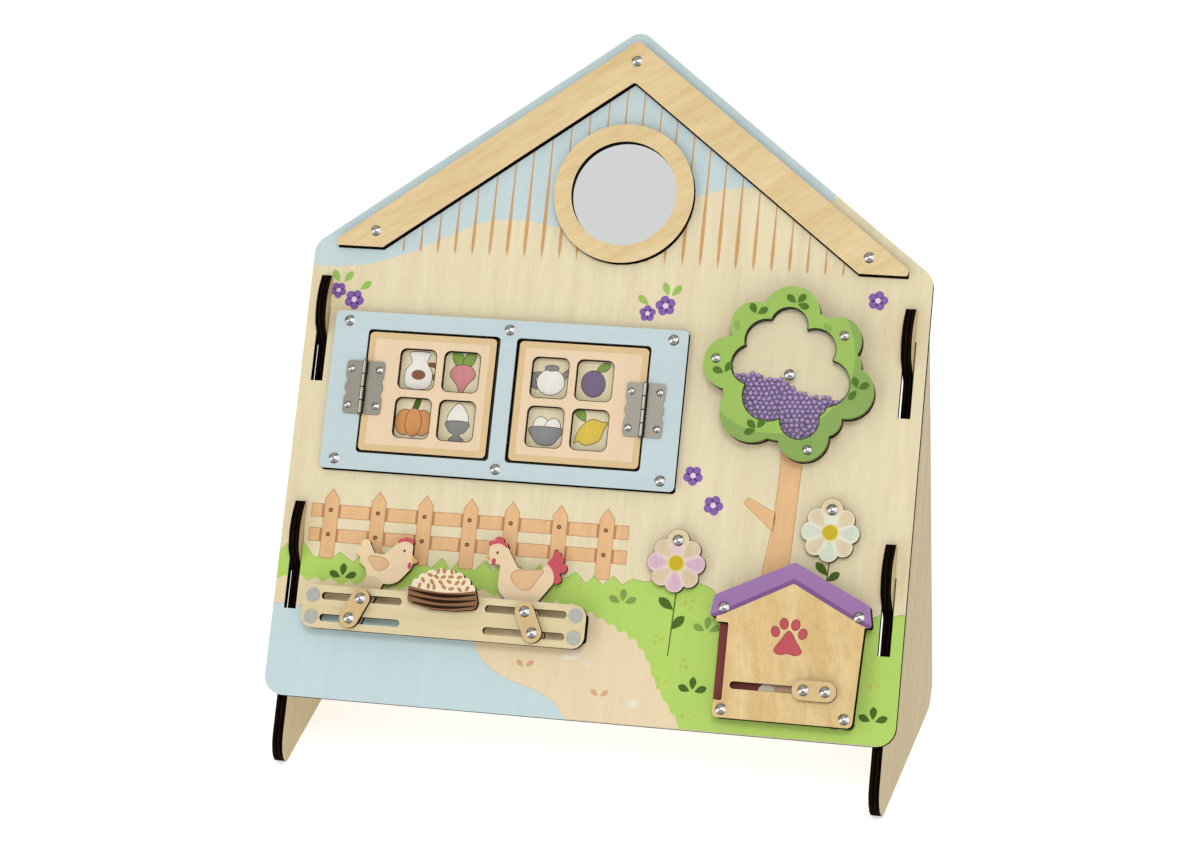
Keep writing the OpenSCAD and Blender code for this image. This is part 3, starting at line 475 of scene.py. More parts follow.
def oval(x, y, across, up, turn=0.0, count=20):
    """An ellipse, turned in degrees"""
    angles = [2 * math.pi * i / count for i in range(count)]
    return put(x, y, turn, [(across * math.cos(t), up * math.sin(t)) for t in angles])


def leaf(x, y, length, width, turn, off=0.0):
    """A leaf that starts a way off its stalk's foot and is pointed at its tip"""
    points = [(off, 0)]
    for i in range(1, 16):
        t = 2 * math.pi * i / 16
        p = length * (1 - math.cos(t)) / 2
        belly = math.sin(math.pi * p / length) ** 0.3 * (1 - 0.35 * math.cos(t))
        points.append((off + p, width / 2 * math.sin(t) * belly))
    return put(x, y, turn, points)


def smooth(points, steps=5):
    """A closed soft line through points"""
    line, n = [], len(points)
    for i in range(n):
        a, b, c, d = (Vector(points[(i + k) % n]) for k in (-1, 0, 1, 2))
        for s in range(steps):
            t = s / steps
            spot = 0.5 * (2 * b + (c - a) * t + (2 * a - 5 * b + 4 * c - d) * t * t
                          + (3 * b - a - 3 * c + d) * t ** 3)
            line.append(tuple(spot))
    return line


def oblong(x0, y0, x1, y1):
    """A rectangle from corner to corner"""
    return [(x0, y0), (x1, y0), (x1, y1), (x0, y1)]


fence_ink = ink("fence ink", "#EABC88", 0.93)
fence_shade = ink("fence shadow ink", "#C2875A")
nail_ink = ink("nail ink", "#4A341D")
picket_x, rail_y, rail_half = [-152, -124, -96.5, -70, -46, -18, 9], (107, 93), 3.6
rails = [oblong(-163.5, y - rail_half, 21.5, y + rail_half) for y in rail_y]
shades = [oblong(x + side * 4 - 1.6, y - rail_half, x + side * 4 + 1.6, y + rail_half)
          for x in picket_x for side in (-1, 1) for y in rail_y]
prints("fence_rails", [
    (fence_shade, [grown(r, 0.35) for r in rails], 0.04),
    (fence_ink, rails, 0.07),
    (fence_shade, shades, 0.09),
])
picket = [(-4, 0), (-3.2, -1.6), (3.2, -1.6), (4, 0), (4, 32.5), (0, 38), (-4, 32.5)]
picket_places = [((x, 81.5, 0), 0.0, (1, 1, 1)) for x in picket_x]
nail_places = [((x - 0.4, y + 0.5, 0), 0.0, (1, 1, 1)) for x in picket_x for y in rail_y]
for name, outline, thick, places, mat, wobble in (
    ("picket_outlines", grown(picket, 0.35), 0.11, picket_places, fence_shade, 0.01),
    ("pickets", picket, 0.14, picket_places, fence_ink, 0.01),
    ("fence_nails", oval(0, 0, 1.25, 1.2, count=14), 0.17, nail_places, nail_ink, 0.3),
    ("nail_middles", oval(0, 0, 0.65, 0.6, count=10), 0.2, nail_places, fence_shade, 0.3),
):
    copies(name, shape_of(outline, thick), places, mat, wobble, 5)

trunk = [(97.5, 78), (99.5, 95), (102.5, 118), (103.6, 140), (103.8, 168), (116, 168),
         (115.2, 140), (114.2, 115), (113.6, 95), (113.6, 78)]
branch = [(103, 113.5), (103.6, 124), (88, 131.5), (86, 130.5), (85.6, 128.2)]
stem_left = [(50.1, 40), (50.7, 40), (52.6, 84), (51.8, 84)]
stem_right = [(134.4, 84), (135.1, 84), (136.4, 104), (135.6, 104)]
dark_leaf = ink("dark leaf ink", "#526F28")
mid_leaf = ink("leaf ink", "#82A54A")
prints("trunk_and_stems", [
    (fence_shade, [grown(trunk, 0.3), grown(branch, 0.3)], 0.04),
    (fence_ink, [trunk, branch], 0.08),
    (dark_leaf, [stem_left, stem_right], 0.1),
])

stem_leaves = [leaf(51, 66, 10.5, 5, 145), leaf(50.6, 55, 10.5, 5, 48),
               leaf(135.4, 91.5, 10, 4.6, 135), leaf(135.2, 88.5, 8.5, 4.4, 38)]
tuft_leaves = [leaf(x, y, 7, 3.9, a, 1.6)
               for x, y in ((-141, 69), (167, 13), (66, 21)) for a in (22, 90, 158)]
pale_leaves = [leaf(x, y, 7, 3.8, a, 1.6)
               for x, y in ((22, 67), (71, 55), (150, 7)) for a in (25, 88, 155)]
prints("leaf_print", [
    (dark_leaf, stem_leaves + tuft_leaves, 0.12),
    (mid_leaf, pale_leaves, 0.08),
])

# Threes of small yellow dots in the grass
chance = random.Random(11)
dots = []
for x, y in ((-103, 76), (-5, 72), (18, 72), (44, 49), (60, 70), (73, 57), (158, 58), (166, 34),
             (48, 25), (60, 36), (64, 8), (162, 44)):
    first = chance.uniform(0, 120)
    for k in range(3):
        r, a = chance.uniform(0.9, 1.4), math.radians(first + 120 * k)
        away = chance.uniform(2, 3)
        dots.append(oval(x + away * math.cos(a), y + away * math.sin(a), r, r, count=10))
prints("blossom_dots", [(ink("yellow dot ink", "#C2CC58"), dots, 0.07)])

sprout = [leaf(x, y, 5.2, 2.8, a, 1) for x, y in ((-30, 27), (14, 14)) for a in (40, 140)]
pebbles = [oval(-4, 36, 5.4, 2.6, 12), oval(4.6, 32.5, 3.2, 2.1, -20), oval(34, 12, 4, 2.2, 8)]
prints("path_print", [
    (ink("sprout ink", "#DFAF84"), sprout, 0.08),
    (ink("pebble ink", "#F3E6CC"), pebbles, 0.08),
])

# Purple blossoms, each of five round petals, some with leaves
petals, hearts = [], []
for x, y, r in ((-163, 236, 2.7), (-153, 231, 3.3), (30, 238, 3.3), (20, 233, 2.7),
                (150, 248, 3.2), (55, 142, 3.2), (68, 126, 3.2)):
    for k in range(5):
        a = math.radians(72 * k + x)
        petals.append(oval(x + r * math.cos(a), y + r * math.sin(a), r * 0.8, r * 0.8, count=14))
    hearts.append(oval(x, y, r * 0.5, r * 0.5, count=12))
sprigs = [leaf(x, y, 8, 4, a) for x, y, a in (
    (-163, 241, 120), (-160, 241, 55), (-150, 237, 40), (31, 244, 110), (33, 244, 50),
    (20, 238, 140))]
prints("purple_blossoms", [
    (ink("spring leaf ink", "#A0C75C"), sprigs, 0.05),
    (ink("purple blossom ink", "#8A62AE"), petals, 0.08),
    (ink("blossom heart ink", "#E7D9EA"), hearts, 0.12),
])


# ---- Window frame ----
# One sheet of 4 mm plywood with two openings, glued and riveted to the board. It is printed
# pale blue all over and its grain runs across.

FRAME_FRONT = 4  # height of its face, and of the shut shutters' faces, above the board


def whole(colour):
    """Ink over the whole face"""
    return lambda tree, place: [(1.0, colour)]


dress(plywood("blue printed plywood", paint=whole("#C1D2D5"), stretch=(0.04, 1, 1)),
      "window_frame")


# ---- Shutters and what lies behind them ----
# 3 mm plywood doors on hinges, with four panes cut in each, printed peach inside a tan
# border. Pantry goods are printed on the board behind them.

SHUTTER_HALF_H, BORDER = 34.55, 3.8
PANES_X = (-96.7, -18.9)  # middles of each shutter's four panes
PANE_DX, PANE_DY = 13, 14.2
GOODS_SCALE = 1.22  # from the outlines below to what fills a pane

for name in ("shutter_left", "shutter_right"):
    low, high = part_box(name)
    # The box is in metres: its middle and half its width, in millimetres
    across, half_w = (low.x + high.x) * 500, (high.x - low.x) * 500

    def shutter_paint(tree, place, across=across, half_w=half_w):
        panel = inside_rect(tree, place, across, WINDOW_Y, half_w - BORDER,
                            SHUTTER_HALF_H - BORDER)
        return [(1.0, "#DABC8B"), (panel, "#E8CEAC")]

    dress(plywood(f"printed {name.replace('_', ' ')} plywood", paint=shutter_paint,
                  stretch=(1, 0.04, 1)), name)


def rim(x, y, width, height, radius, wide=0.4):
    """A narrow line round a rounded opening, as one small shape for each stretch"""
    loops = []
    for out in (0.02, wide):
        loop = []
        for k in range(24):
            a = math.pi / 2 * (k // 6) + math.pi / 2 * (k % 6) / 5
            corner = (x + (width / 2 - radius) * (1 if k // 6 in (0, 3) else -1),
                      y + (height / 2 - radius) * (1 if k // 6 in (0, 1) else -1))
            loop.append((corner[0] + (radius + out) * math.cos(a),
                         corner[1] + (radius + out) * math.sin(a)))
        loops.append(loop)
    inner, outer = loops
    return [[inner[i - 1], outer[i - 1], outer[i], inner[i]] for i in range(24)]


scorch_ink = ink("scorch", "#2A1D13", 0.7)
for name, middle in zip(("shutter_left", "shutter_right"), PANES_X):
    scorched = [quad for a in (-PANE_DX, PANE_DX) for b in (-PANE_DY, PANE_DY)
                for quad in rim(middle + a, WINDOW_Y + b, 21, 23.2, 3.5)]
    prints(f"{name}_scorch", [(scorch_ink, scorched, 0.04)], FRAME_FRONT, name)
scorched = [quad for middle in OPENINGS_X for quad in rim(middle, WINDOW_Y, 77.4, 71.3, 2)]
prints("frame_scorch", [(scorch_ink, scorched, 0.04)], FRAME_FRONT)

line_ink = ink("dark line ink", "#5A463A")
white_ink = ink("white ware ink", "#F3EEE2", 0.96)
grey_ink = ink("grey ware ink", "#8E8F8C")
orange_ink = ink("pumpkin ink", "#DE9A5C")
brown_ink = ink("hazel ink", "#8A5A3C")
rose_ink = ink("radish ink", "#D98C8C")
lemon_ink = ink("lemon ink", "#E6C94F")
plum_ink = ink("plum ink", "#7C6A86")


def drawn(name, middle, column, row, parts, unlined=None):
    """A small picture behind a pane: each part has an ink and an outline, edged by a thin
    dark line unless it is the unlined one"""
    x, y = middle + column * PANE_DX, WINDOW_Y + row * PANE_DY
    layers = []
    for level, (mat, outline) in enumerate(parts):
        placed = [(x + p * GOODS_SCALE, y + q * GOODS_SCALE) for p, q in outline]
        thick = 0.08 + 0.05 * level
        if level != unlined:
            layers.append((line_ink, [grown(placed, 0.35)], thick - 0.02))
        layers.append((mat, [placed], thick))
    prints(name, layers)


left, right = PANES_X
drawn("jug_print", left, -1, 1, [
    (brown_ink, smooth([(5, 4), (9.4, 3), (8.8, -3), (5.4, -4), (5.6, -2.4), (7.6, -1.6),
                        (7.8, 1.8), (4.8, 2.4)], 3)),
    (white_ink, smooth([(-5, -8), (5, -8), (6.5, -1), (3.6, 4), (4.4, 8.5), (-4.6, 8.5),
                        (-3.6, 4), (-6.5, -1)])),
    (brown_ink, oval(0, -2, 3.4, 2.4))], unlined=2)
drawn("radish_print", left, 1, 1, [
    (mid_leaf, leaf(0, 1, 11, 5, 115)), (mid_leaf, leaf(0, 1, 11, 5, 65)),
    (rose_ink, smooth([(0, -10), (2.4, -5.5), (6, -1), (4, 3), (0, 4), (-4, 3), (-6, -1),
                       (-2.4, -5.5)]))])
drawn("pumpkin_print", left, -1, -1, [
    (dark_leaf, smooth([(-1, 4), (1, 4), (2.6, 9), (0.4, 9.4)], 3)),
    (orange_ink, oval(-4.2, -1.5, 4.6, 6)), (orange_ink, oval(4.2, -1.5, 4.6, 6)),
    (orange_ink, oval(0, -1.5, 3.8, 6.6))])
drawn("egg_cup_print", left, 1, -1, [
    (white_ink, smooth([(0, 9), (4.6, 3.5), (4.4, -1), (0, -3), (-4.4, -1), (-4.6, 3.5)])),
    (grey_ink, smooth([(-5.4, 0), (5.4, 0), (3.6, -4.6), (1, -6), (3.6, -9), (-3.6, -9),
                       (-1, -6), (-3.6, -4.6)], 3))])
drawn("teapot_print", right, -1, 1, [
    (grey_ink, smooth([(5, -2), (9.6, 5), (8.4, 5.4), (4, 1)], 3)),
    (grey_ink, smooth([(-5, 3), (-9, 2), (-8.6, -4), (-4.6, -5), (-4.8, -3.4), (-7, -2.6),
                       (-7.2, 0.8), (-5, 1.4)], 3)),
    (white_ink, oval(0, -1.5, 6.6, 6)), (grey_ink, oval(0, 5.2, 3.2, 1.3))])
drawn("plum_print", right, 1, 1, [
    (mid_leaf, leaf(0, 5, 7, 3.6, 30)), (plum_ink, oval(-1, -1, 5.6, 6.2, 12))])
drawn("bowl_print", right, -1, -1, [
    (white_ink, oval(-2.4, 1, 3.6, 4.2, 20)), (white_ink, oval(3, 0.6, 3.6, 4.2, -24)),
    (grey_ink, smooth([(-7.4, 0), (7.4, 0), (5.4, -5.4), (2.6, -7.8), (-2.6, -7.8),
                       (-5.4, -5.4)], 4))])
drawn("lemon_print", right, 1, -1, [
    (mid_leaf, leaf(-3, 4.5, 8, 4, 125)),
    (lemon_ink, smooth([(-7.4, -5.6), (-5.4, -5), (-2, -6.6), (4, -4.4), (6, 1), (7.4, 4.4),
                        (5, 4.4), (0, 5.4), (-5, 1)], 4))])


# ---- Hinges ----
# Small stamped butt hinges of brushed steel: two leaves rolled round a pin, each riveted
# down, one to the frame and one to its shutter.

KNUCKLE, GAP_SHADE = 7.75, 0.35  # length of a knuckle, and half the painted shade line between two
JOINT_LEFT_Y, JOINT_RIGHT_Y = 179.0, 176.5  # where one such line lies on each hinge
KNUCKLE_LOW = 5.4  # past this height above the board only the knuckles rise


def set_ramp(socket, first, stops):
    """Sets the colours of a ramp: its first one, and the others by their spot"""
    ramp = socket.node.color_ramp
    for spot, colour in stops:
        ramp.elements.new(spot).color = linear(colour)
    ramp.elements.remove(ramp.elements[-1])
    ramp.elements[0].color = linear(first)


# Soft grey with fine brushed lines along the leaves, 0.2 mm apart, and duller smears
made, tree = material("brushed steel")
place = board_place(tree)
lined = add(tree, "VectorMath", {0: place, 1: (0.25, 3.5, 0.25)}, operation="MULTIPLY")
lines = add(tree, "TexNoise", {"Vector": lined, "Scale": 1.6, "Detail": 4})
smears = add(tree, "TexNoise", {"Vector": place, "Scale": 0.25, "Detail": 2})
tone = add(tree, "Mix", {0: lines, 6: "#7C786D", 7: "#928E83"}, 2, data_type="RGBA")
rough = add(tree, "MapRange", {0: smears, 3: 0.3, 4: 0.48})
# Painted highlight and painted shade: by the direction each face points, the knuckles are painted
# bright along their crest and dark at their foot
crest = (OUT * 0.94 - Vector((0.34, 0, 0))).normalized()
sheen_facing = add(tree, "Math", {0: facing_way(tree, crest)}, operation="ABSOLUTE")
painted_sheen = add(tree, "ValToRGB", {"Fac": sheen_facing})
set_ramp(painted_sheen, "#35332F", (
    (0.5, "#4A4842"), (0.8, "#A09C92"), (0.9, "#FFFFFF"), (0.97, "#FFFFFF")))
painted_glint = add(tree, "Math", {0: sheen_facing, 1: 0.985}, operation="GREATER_THAN")
tone = add(tree, "Mix", {0: 1.0, 6: tone, 7: painted_sheen}, 2, data_type="RGBA",
           blend_type="MULTIPLY")
tone = add(tree, "Mix", {0: painted_glint, 6: tone, 7: "#DCDAD2"}, 2, data_type="RGBA")
# Painted shade: dark lines in the joints between the knuckles, where shade falls into the gaps
axes = add(tree, "SeparateXYZ", {0: place}).node.outputs
on_left = add(tree, "Math", {0: axes[0], 1: sum(PANES_X) / 2}, operation="LESS_THAN")
middle = add(tree, "MapRange", {0: on_left, 3: JOINT_RIGHT_Y, 4: JOINT_LEFT_Y})
along = add(tree, "Math", {0: axes[1], 1: middle}, operation="SUBTRACT")
joint_shade = add(tree, "Math", {0: along, 1: KNUCKLE / 2}, operation="PINGPONG")
joint_shade = add(tree, "Math", {0: joint_shade, 1: GAP_SHADE}, operation="LESS_THAN")
raised = add(tree, "Math", {0: axes[2], 1: KNUCKLE_LOW}, operation="GREATER_THAN")
joint_shade = add(tree, "Math", {0: joint_shade, 1: raised}, operation="MULTIPLY")
tone = add(tree, "Mix", {0: joint_shade, 6: tone, 7: "#2A2822"}, 2, data_type="RGBA")
surface(tree, tone, rough, lines, 0.2, 0.00003, {"Metallic": 1.0})
dress(made, *(name for name in nodes if name.endswith(("_leaf", "_pin"))))


# ---- Rivets and studs ----
# Domed tubular rivets of chrome-plated steel hold every moving or glued piece, set through
# it from the front. The slotted bar is held by flat studs of zinc-plated steel.

# Bright and smooth, with small scuffs. A painted highlight and painted shade follow the direction
# each face points: brightest low on the right of the dome, darkest at its foot
made, tree = material("chrome")
marks = add(tree, "TexNoise", {"Vector": board_place(tree), "Scale": 0.9, "Detail": 4})
rough = add(tree, "MapRange", {0: marks, 3: 0.1, 4: 0.24})
highlight_way = (OUT * 0.88 - UP * 0.36 + Vector((0.3, 0, 0))).normalized()
tone = add(tree, "ValToRGB", {"Fac": facing_way(tree, highlight_way)})
set_ramp(tone, "#403E3A", (
    (0.64, "#605D57"), (0.83, "#8E8B82"), (0.93, "#B2AFA6"), (0.965, "#F6F6F4")))
# Painted reflections: the bright and dark wedges that the fine rings of a turned cap throw back,
# painted by the direction each face points
turned = add(tree, "Math", {0: facing_way(tree, UP), 1: facing_way(tree, (1, 0, 0))},
             operation="ARCTAN2")
turned = add(tree, "MapRange", {0: turned, 1: -math.pi, 2: math.pi})
painted_wedges = add(tree, "ValToRGB", {"Fac": turned})
set_ramp(painted_wedges, "#8A877E", [(degrees / 360 + 0.5, colour) for degrees, colour in (
    (-158, "#FFFFFF"), (-138, "#FFFFFF"), (-126, "#918E86"), (-96, "#7D7A72"),
    (-84, "#26241F"), (-44, "#26241F"), (-28, "#B9B6AE"), (-10, "#FFFFFF"), (26, "#FFFFFF"),
    (40, "#7E7B73"), (100, "#A8A59D"), (165, "#8A877E"))])
tone = add(tree, "Mix", {0: 0.78, 6: tone, 7: painted_wedges}, 2, data_type="RGBA")
surface(tree, tone, rough, marks, 0.15, more={"Metallic": 1.0})
dress(made, *(name for name in nodes if name.endswith(("_rivet", "_rivets"))))

# Dull grey, mottled by the zinc's crystals of about 0.7 mm
made, tree = material("zinc-plated steel")
crystals = add(tree, "TexNoise", {
    "Vector": board_place(tree), "Scale": 1.4, "Detail": 4})
tone = add(tree, "Mix", {0: crystals, 6: "#6A6B66", 7: "#C4C5BC"}, 2,
           data_type="RGBA")
rough = add(tree, "MapRange", {0: crystals, 3: 0.42, 4: 0.6})
surface(tree, tone, rough, crystals, 0.2, more={"Metallic": 0.6})
dress(made, "bar_studs")


# ---- Tree ----
# A green printed ring over a clear acrylic window, a chamber of loose purple beads and a
# bare back plate, all riveted together and turning on one axle.

TREE = (105.3, 201.3)
CROWN_FRONT = 10.2  # height of the front ring's face above the board


def inside_disc(tree, place, x, y, radius):
    """Mask of a disc on the board"""
    flat = add(tree, "VectorMath", {0: place, 1: (1, 1, 0)}, operation="MULTIPLY")
    far = add(tree, "VectorMath", {0: flat, 1: (x, y, 0)}, "Value",
              operation="DISTANCE")
    return add(tree, "Math", {0: far, 1: radius}, operation="LESS_THAN")


# The window's outline is made of these discs about the axle
lobes = [(-2.5, 27.5, 10.5), (-14.5, 18.5, 12), (-21.5, 4.5, 11.5), (-10.5, -12.5, 14.5),
         (8, -25, 11), (14.5, -15.5, 8), (21, -3.8, 13.2), (13, 15, 11.8), (0, 0, 20)]


def crown_paint(tree, place):
    """Light green, darker along the lower right, scorched at the window's lower edge"""
    lit = inside_disc(tree, place, TREE[0] - 8, TREE[1] + 10, 44)
    scorched = [(inside_disc(tree, place, TREE[0] + a, TREE[1] + b - 0.2, r + 0.45), "#2B2416")
                for a, b, r in lobes]
    return [(1.0, "#7FA24C"), (lit, "#9ABB58"), *scorched]


dress(plywood("green printed plywood", paint=crown_paint), "tree_front_ring")
dress(plywood("tree back plywood", "#D6CBAC", "#C9BC99"), "tree_back_plate")

crown_leaves = [leaf(x, y, 6.6, 4, a, 0.8) for x, y, turns in (
    (106, 241.5, (50, -15, 140)), (84, 234, (120, 35)), (69, 199.5, (65, 160)),
    (90, 169, (200, 140, 60)), (144, 195, (110, 30, 235))) for a in turns]
pale_crown = [leaf(x, y, 6.2, 3.6, a) for x, y, a in (
    (74, 224, 100), (136, 183, 60), (122, 231, -40), (118, 160, 60))]
prints("crown_leaves", [
    (ink("crown leaf ink", "#587A2E"), crown_leaves, 0.1),
    (ink("pale crown leaf ink", "#86AC50"), pale_crown, 0.08),
], CROWN_FRONT, "tree")

# Clear and glossy, hazed by faint wear; light passes it to the beads without a dark shadow
made, tree = material("clear acrylic")
wear = add(tree, "TexNoise", {"Vector": board_place(tree), "Scale": 0.3, "Detail": 3})
rough = add(tree, "MapRange", {0: wear, 3: 0.03, 4: 0.09})
bump = add(tree, "Bump", {"Strength": 0.05, "Distance": 0.00005, "Height": wear})
glass = add(tree, "BsdfPrincipled", {
    "Base Color": "#F4F4F0", "Roughness": rough, "IOR": 1.49, "Transmission Weight": 1.0,
    "Normal": bump})
open_way = add(tree, "BsdfTransparent", {"Color": "#F2F2EE"})
rays = add(tree, "LightPath", out="Is Shadow Ray")
pane = add(tree, "MixShader", {0: rays, 1: glass, 2: open_way})
add(tree, "OutputMaterial", {"Surface": pane})
dress(made, "tree_window")

# Pearly violet with a soft gloss, a little lighter and darker from place to place
made, tree = material("purple plastic beads")
place = board_place(tree)
cloud = add(tree, "TexNoise", {"Vector": place, "Scale": 0.4, "Detail": 2})
tone = add(tree, "Mix", {0: cloud, 6: "#9872BC", 7: "#B08CCC"}, 2, data_type="RGBA")
# Painted shade: each bead is painted palest on its crest and deep purple where it meets the next,
# and darker the deeper it lies
depth = add(tree, "MapRange", {
    0: facing_way(tree, OUT), 1: 0.3, 2: 0.92, 3: 0.2, 4: 1.0})
height = add(tree, "SeparateXYZ", {0: place}, "Z")
shade = add(tree, "MapRange", {0: height, 1: 5.5, 2: 6.8, 3: 0.1, 4: 1})
depth = add(tree, "Math", {0: depth, 1: shade}, operation="MULTIPLY")
tone = add(tree, "Mix", {0: depth, 6: "#2C0E54", 7: tone}, 2, data_type="RGBA")
rough = add(tree, "MapRange", {0: cloud, 3: 0.28, 4: 0.42})
surface(tree, tone, rough, cloud, 0.1)
bead_plastic = made

bead_r, bead_jitter, bead_room = 1.59, 1.3, (2.98, 2.58)
small_size, small_room = 0.68, (1.9, 1.65)
top_height, deep_height = 5.6, 5.08
axle_r = 3.2
settled = [(-40, -1), (-20, 0), (-8, -2), (-2, -3.2), (5, -8.2), (12, -11), (22, -11),
           (40, -12.5)]


def in_pile(x, y):
    """Whether a bead can lie here: in the chamber, under the settled surface"""
    for (x0, y0), (x1, y1) in zip(settled, settled[1:]):
        if x0 <= x < x1:
            surface_y = y0 + (y1 - y0) * (x - x0) / (x1 - x0)
    held = any(math.hypot(x - a, y - b) < r + 0.6 for a, b, r in lobes)
    return held and y < surface_y and math.hypot(x, y) > axle_r


chance = random.Random(21)
pile = []
for row in range(-18, 4):
    for column in range(-17, 17):
        x = bead_room[0] * (column + row % 2 / 2) + chance.uniform(-bead_jitter, bead_jitter)
        y = bead_room[1] * row + 0.2 * column + chance.uniform(-bead_jitter, bead_jitter)
        if in_pile(x, y):
            pile.append([x, y, chance.uniform(0.8, 1)])
# Beads that overlap push each other apart, as loose beads settle
for _ in range(40):
    for i, one in enumerate(pile):
        for two in pile[i + 1:]:
            dx, dy = two[0] - one[0], two[1] - one[1]
            room = bead_r * (one[2] + two[2])
            if abs(dx) < room and abs(dy) < room and 0 < math.hypot(dx, dy) < room:
                push = (room / math.hypot(dx, dy) - 1) / 2 * 0.9
                for bead, sign in ((one, -1), (two, 1)):
                    x, y = bead[0] + sign * push * dx, bead[1] + sign * push * dy
                    if in_pile(x, y):
                        bead[:2] = x, y
bead_places = [((TREE[0] + x, TREE[1] + y, top_height), 0.0, (size,) * 3)
               for x, y, size in pile]
# Small beads set deeper fill the gaps; lying low, they are painted dark and stand for the shade
# between the beads
for row in range(-25, 4):
    for column in range(-24, 24):
        x, y = small_room[0] * (column + row % 2 / 2), small_room[1] * row
        if in_pile(x, y) and in_pile(x, y + 0.8):
            bead_places.append(((TREE[0] + x, TREE[1] + y, deep_height), 0.0,
                                (small_size,) * 3))
ball = bmesh.new()
bmesh.ops.create_icosphere(ball, subdivisions=2, radius=bead_r)
for face in ball.faces:
    face.smooth = True
bead = new_object("bead", mesh_data("bead", ball))
beads = copies("bead_pile", bead, bead_places, bead_plastic, 3.0, 8, "tree")
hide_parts("tree_beads")


# ---- Flowers and washers ----
# Two 3 mm plywood flowers that hang by a bare round tab. Every second petal is tinted, each
# has a paler heart, and the middle is yellow. White nylon washers sit behind them.

FLOWER_FRONT = 4.3


def flower(name, x, y, tint, pale, heart_tint, heart_pale, rim_colour):
    """Paints one flower, in discs about its middle, and prints its hearts"""
    def petals_paint(tree, place):
        slanting = [(a, b, 5.4, pale) for b in (7.75, -7.75) for a in (7.75, -7.75)]
        discs = [(0, 0, 30, "#6B4E33"), (0, 0, 11.7, pale), (0, 12.8, 6.25, "#E4D0A8"),
                 (0, 0, 10.2, pale), *slanting, (0, 7, 3.6, tint), (10.96, 0, 5.4, tint),
                 (-10.96, 0, 5.4, tint), (0, -10.96, 5.4, tint)]
        return [(inside_disc(tree, place, x + a, y + b, r), colour)
                for a, b, r, colour in discs]

    dress(plywood(f"printed {name.replace('_', ' ')}", paint=petals_paint), name)
    heart = smooth([(5.2, 0), (8.4, 2.3), (12.2, 3.6), (15.2, 1.9), (15.2, -1.9),
                    (12.2, -3.6), (8.4, -2.3)], 4)
    # No heart under the rivet, at the top
    straight = [put(x, y, turn, heart) for turn in (0, 180, 270)]
    slanted = [put(x, y, turn, heart) for turn in (45, 135, 225, 315)]
    prints(f"{name}_print", [
        (ink(f"{name} rim ink", rim_colour), [grown(o, 0.4) for o in straight + slanted], 0.06),
        (ink(f"{name} tint ink", heart_tint), straight, 0.1),
        (ink(f"{name} pale ink", heart_pale), slanted, 0.1),
        (ink(f"{name} rim of the middle", "#EBDD8E"), [oval(x, y, 4.8, 4.8)], 0.14),
        (ink(f"{name} middle ink", "#CFB41C"), [oval(x, y, 4.2, 4.2)], 0.18),
    ], FLOWER_FRONT, name)


flower("flower_left", 51, 91.6, "#E2C6C9", "#E2CDB8", "#DFB9CA", "#E0CBA6", "#E7D2CC")
flower("flower_right", 135.2, 115, "#E0E2CC", "#E4DABC", "#D8E1CA", "#E6D2AC", "#E9E4CC")

# Milky white and waxy
made, tree = material("white nylon")
mottle = add(tree, "TexNoise", {
    "Vector": board_place(tree), "Scale": 1.2, "Detail": 3})
tone = add(tree, "Mix", {0: mottle, 6: "#DFDDD4", 7: "#ECEAE2"}, 2, data_type="RGBA")
rough = add(tree, "MapRange", {0: mottle, 3: 0.4, 4: 0.55})
surface(tree, tone, rough, mottle, 0.1)
dress(made, "tree_washer", "flower_left_washer", "flower_right_washer")


# ---- Slotted bar and links ----
# A 4 mm bare plywood bar with the grain running along it, on spacers that let the hens slide
# behind it. Three small wooden links are riveted to the hens and to the kennel's panel.

dress(plywood("bar plywood", "#E3D3AA", "#D4C294", stretch=(0.035, 1, 1)), "slide_bar")
dress(plywood("link plywood", "#DCBF8C", "#C9A976", stretch=(0.3, 0.12, 1)),
      "hen_left_link", "hen_right_link", "kennel_slide_link")


# ---- Feed bowl ----
# One 4 mm plywood shape glued to the bar: a brown striped bowl with a cream heap of feed,
# its grains printed one by one.

BOWL, BOWL_FRONT = (-77.8, 51), 14


def bowl_paint(tree, place):
    """Dark brown below the rim, cream heap above it"""
    heap = below(tree, place, [(-180, 66.4), (-98, 66.4), (-88, 64.6), (-77.8, 63.8),
                               (-67, 64.6), (-58, 66.4), (180, 66.4)])
    return [(1.0, "#EFDDBE"), (heap, "#835A38")]


dress(plywood("printed bowl plywood", paint=bowl_paint, gloss=0.1), "feed_bowl")
# Three dark bands that sag in the middle and thin out towards their ends
bands = []
for middle, thick, left, right in ((13.4, 2.1, -19.6, 19), (10.2, 1.9, -19.4, 19.6),
                                   (7, 1.7, -17, 19.2)):
    line = [left + (right - left) * i / 16 for i in range(17)]
    swell = [math.cos(x / 21 * math.pi / 2) for x in line]
    band = [(x, middle - 2.4 * c, thick / 2 * (0.2 + 0.8 * c)) for x, c in zip(line, swell)]
    bands.append([(BOWL[0] + x, BOWL[1] + y - h) for x, y, h in band]
                 + [(BOWL[0] + x, BOWL[1] + y + h) for x, y, h in band[::-1]])
prints("bowl_bands", [(ink("bowl band ink", "#2C190C"), bands, 0.08)], BOWL_FRONT)
grain_places = []
chance = random.Random(5)
for y, half, count in ((15.6, 16.4, 7), (18.8, 14, 6), (21.8, 11.2, 5), (24.6, 5.4, 3)):
    for k in range(count):
        x = -half + 2 * half * (k + 0.5) / count + chance.uniform(-0.7, 0.7)
        grain_places.append(((BOWL[0] + x, BOWL[1] + y + chance.uniform(-0.5, 0.5), BOWL_FRONT),
                             chance.uniform(-1.2, 1.9), (1, 1, 1)))
grain = shape_of(oval(0, 0, 1.75, 0.95, count=12), 0.1)
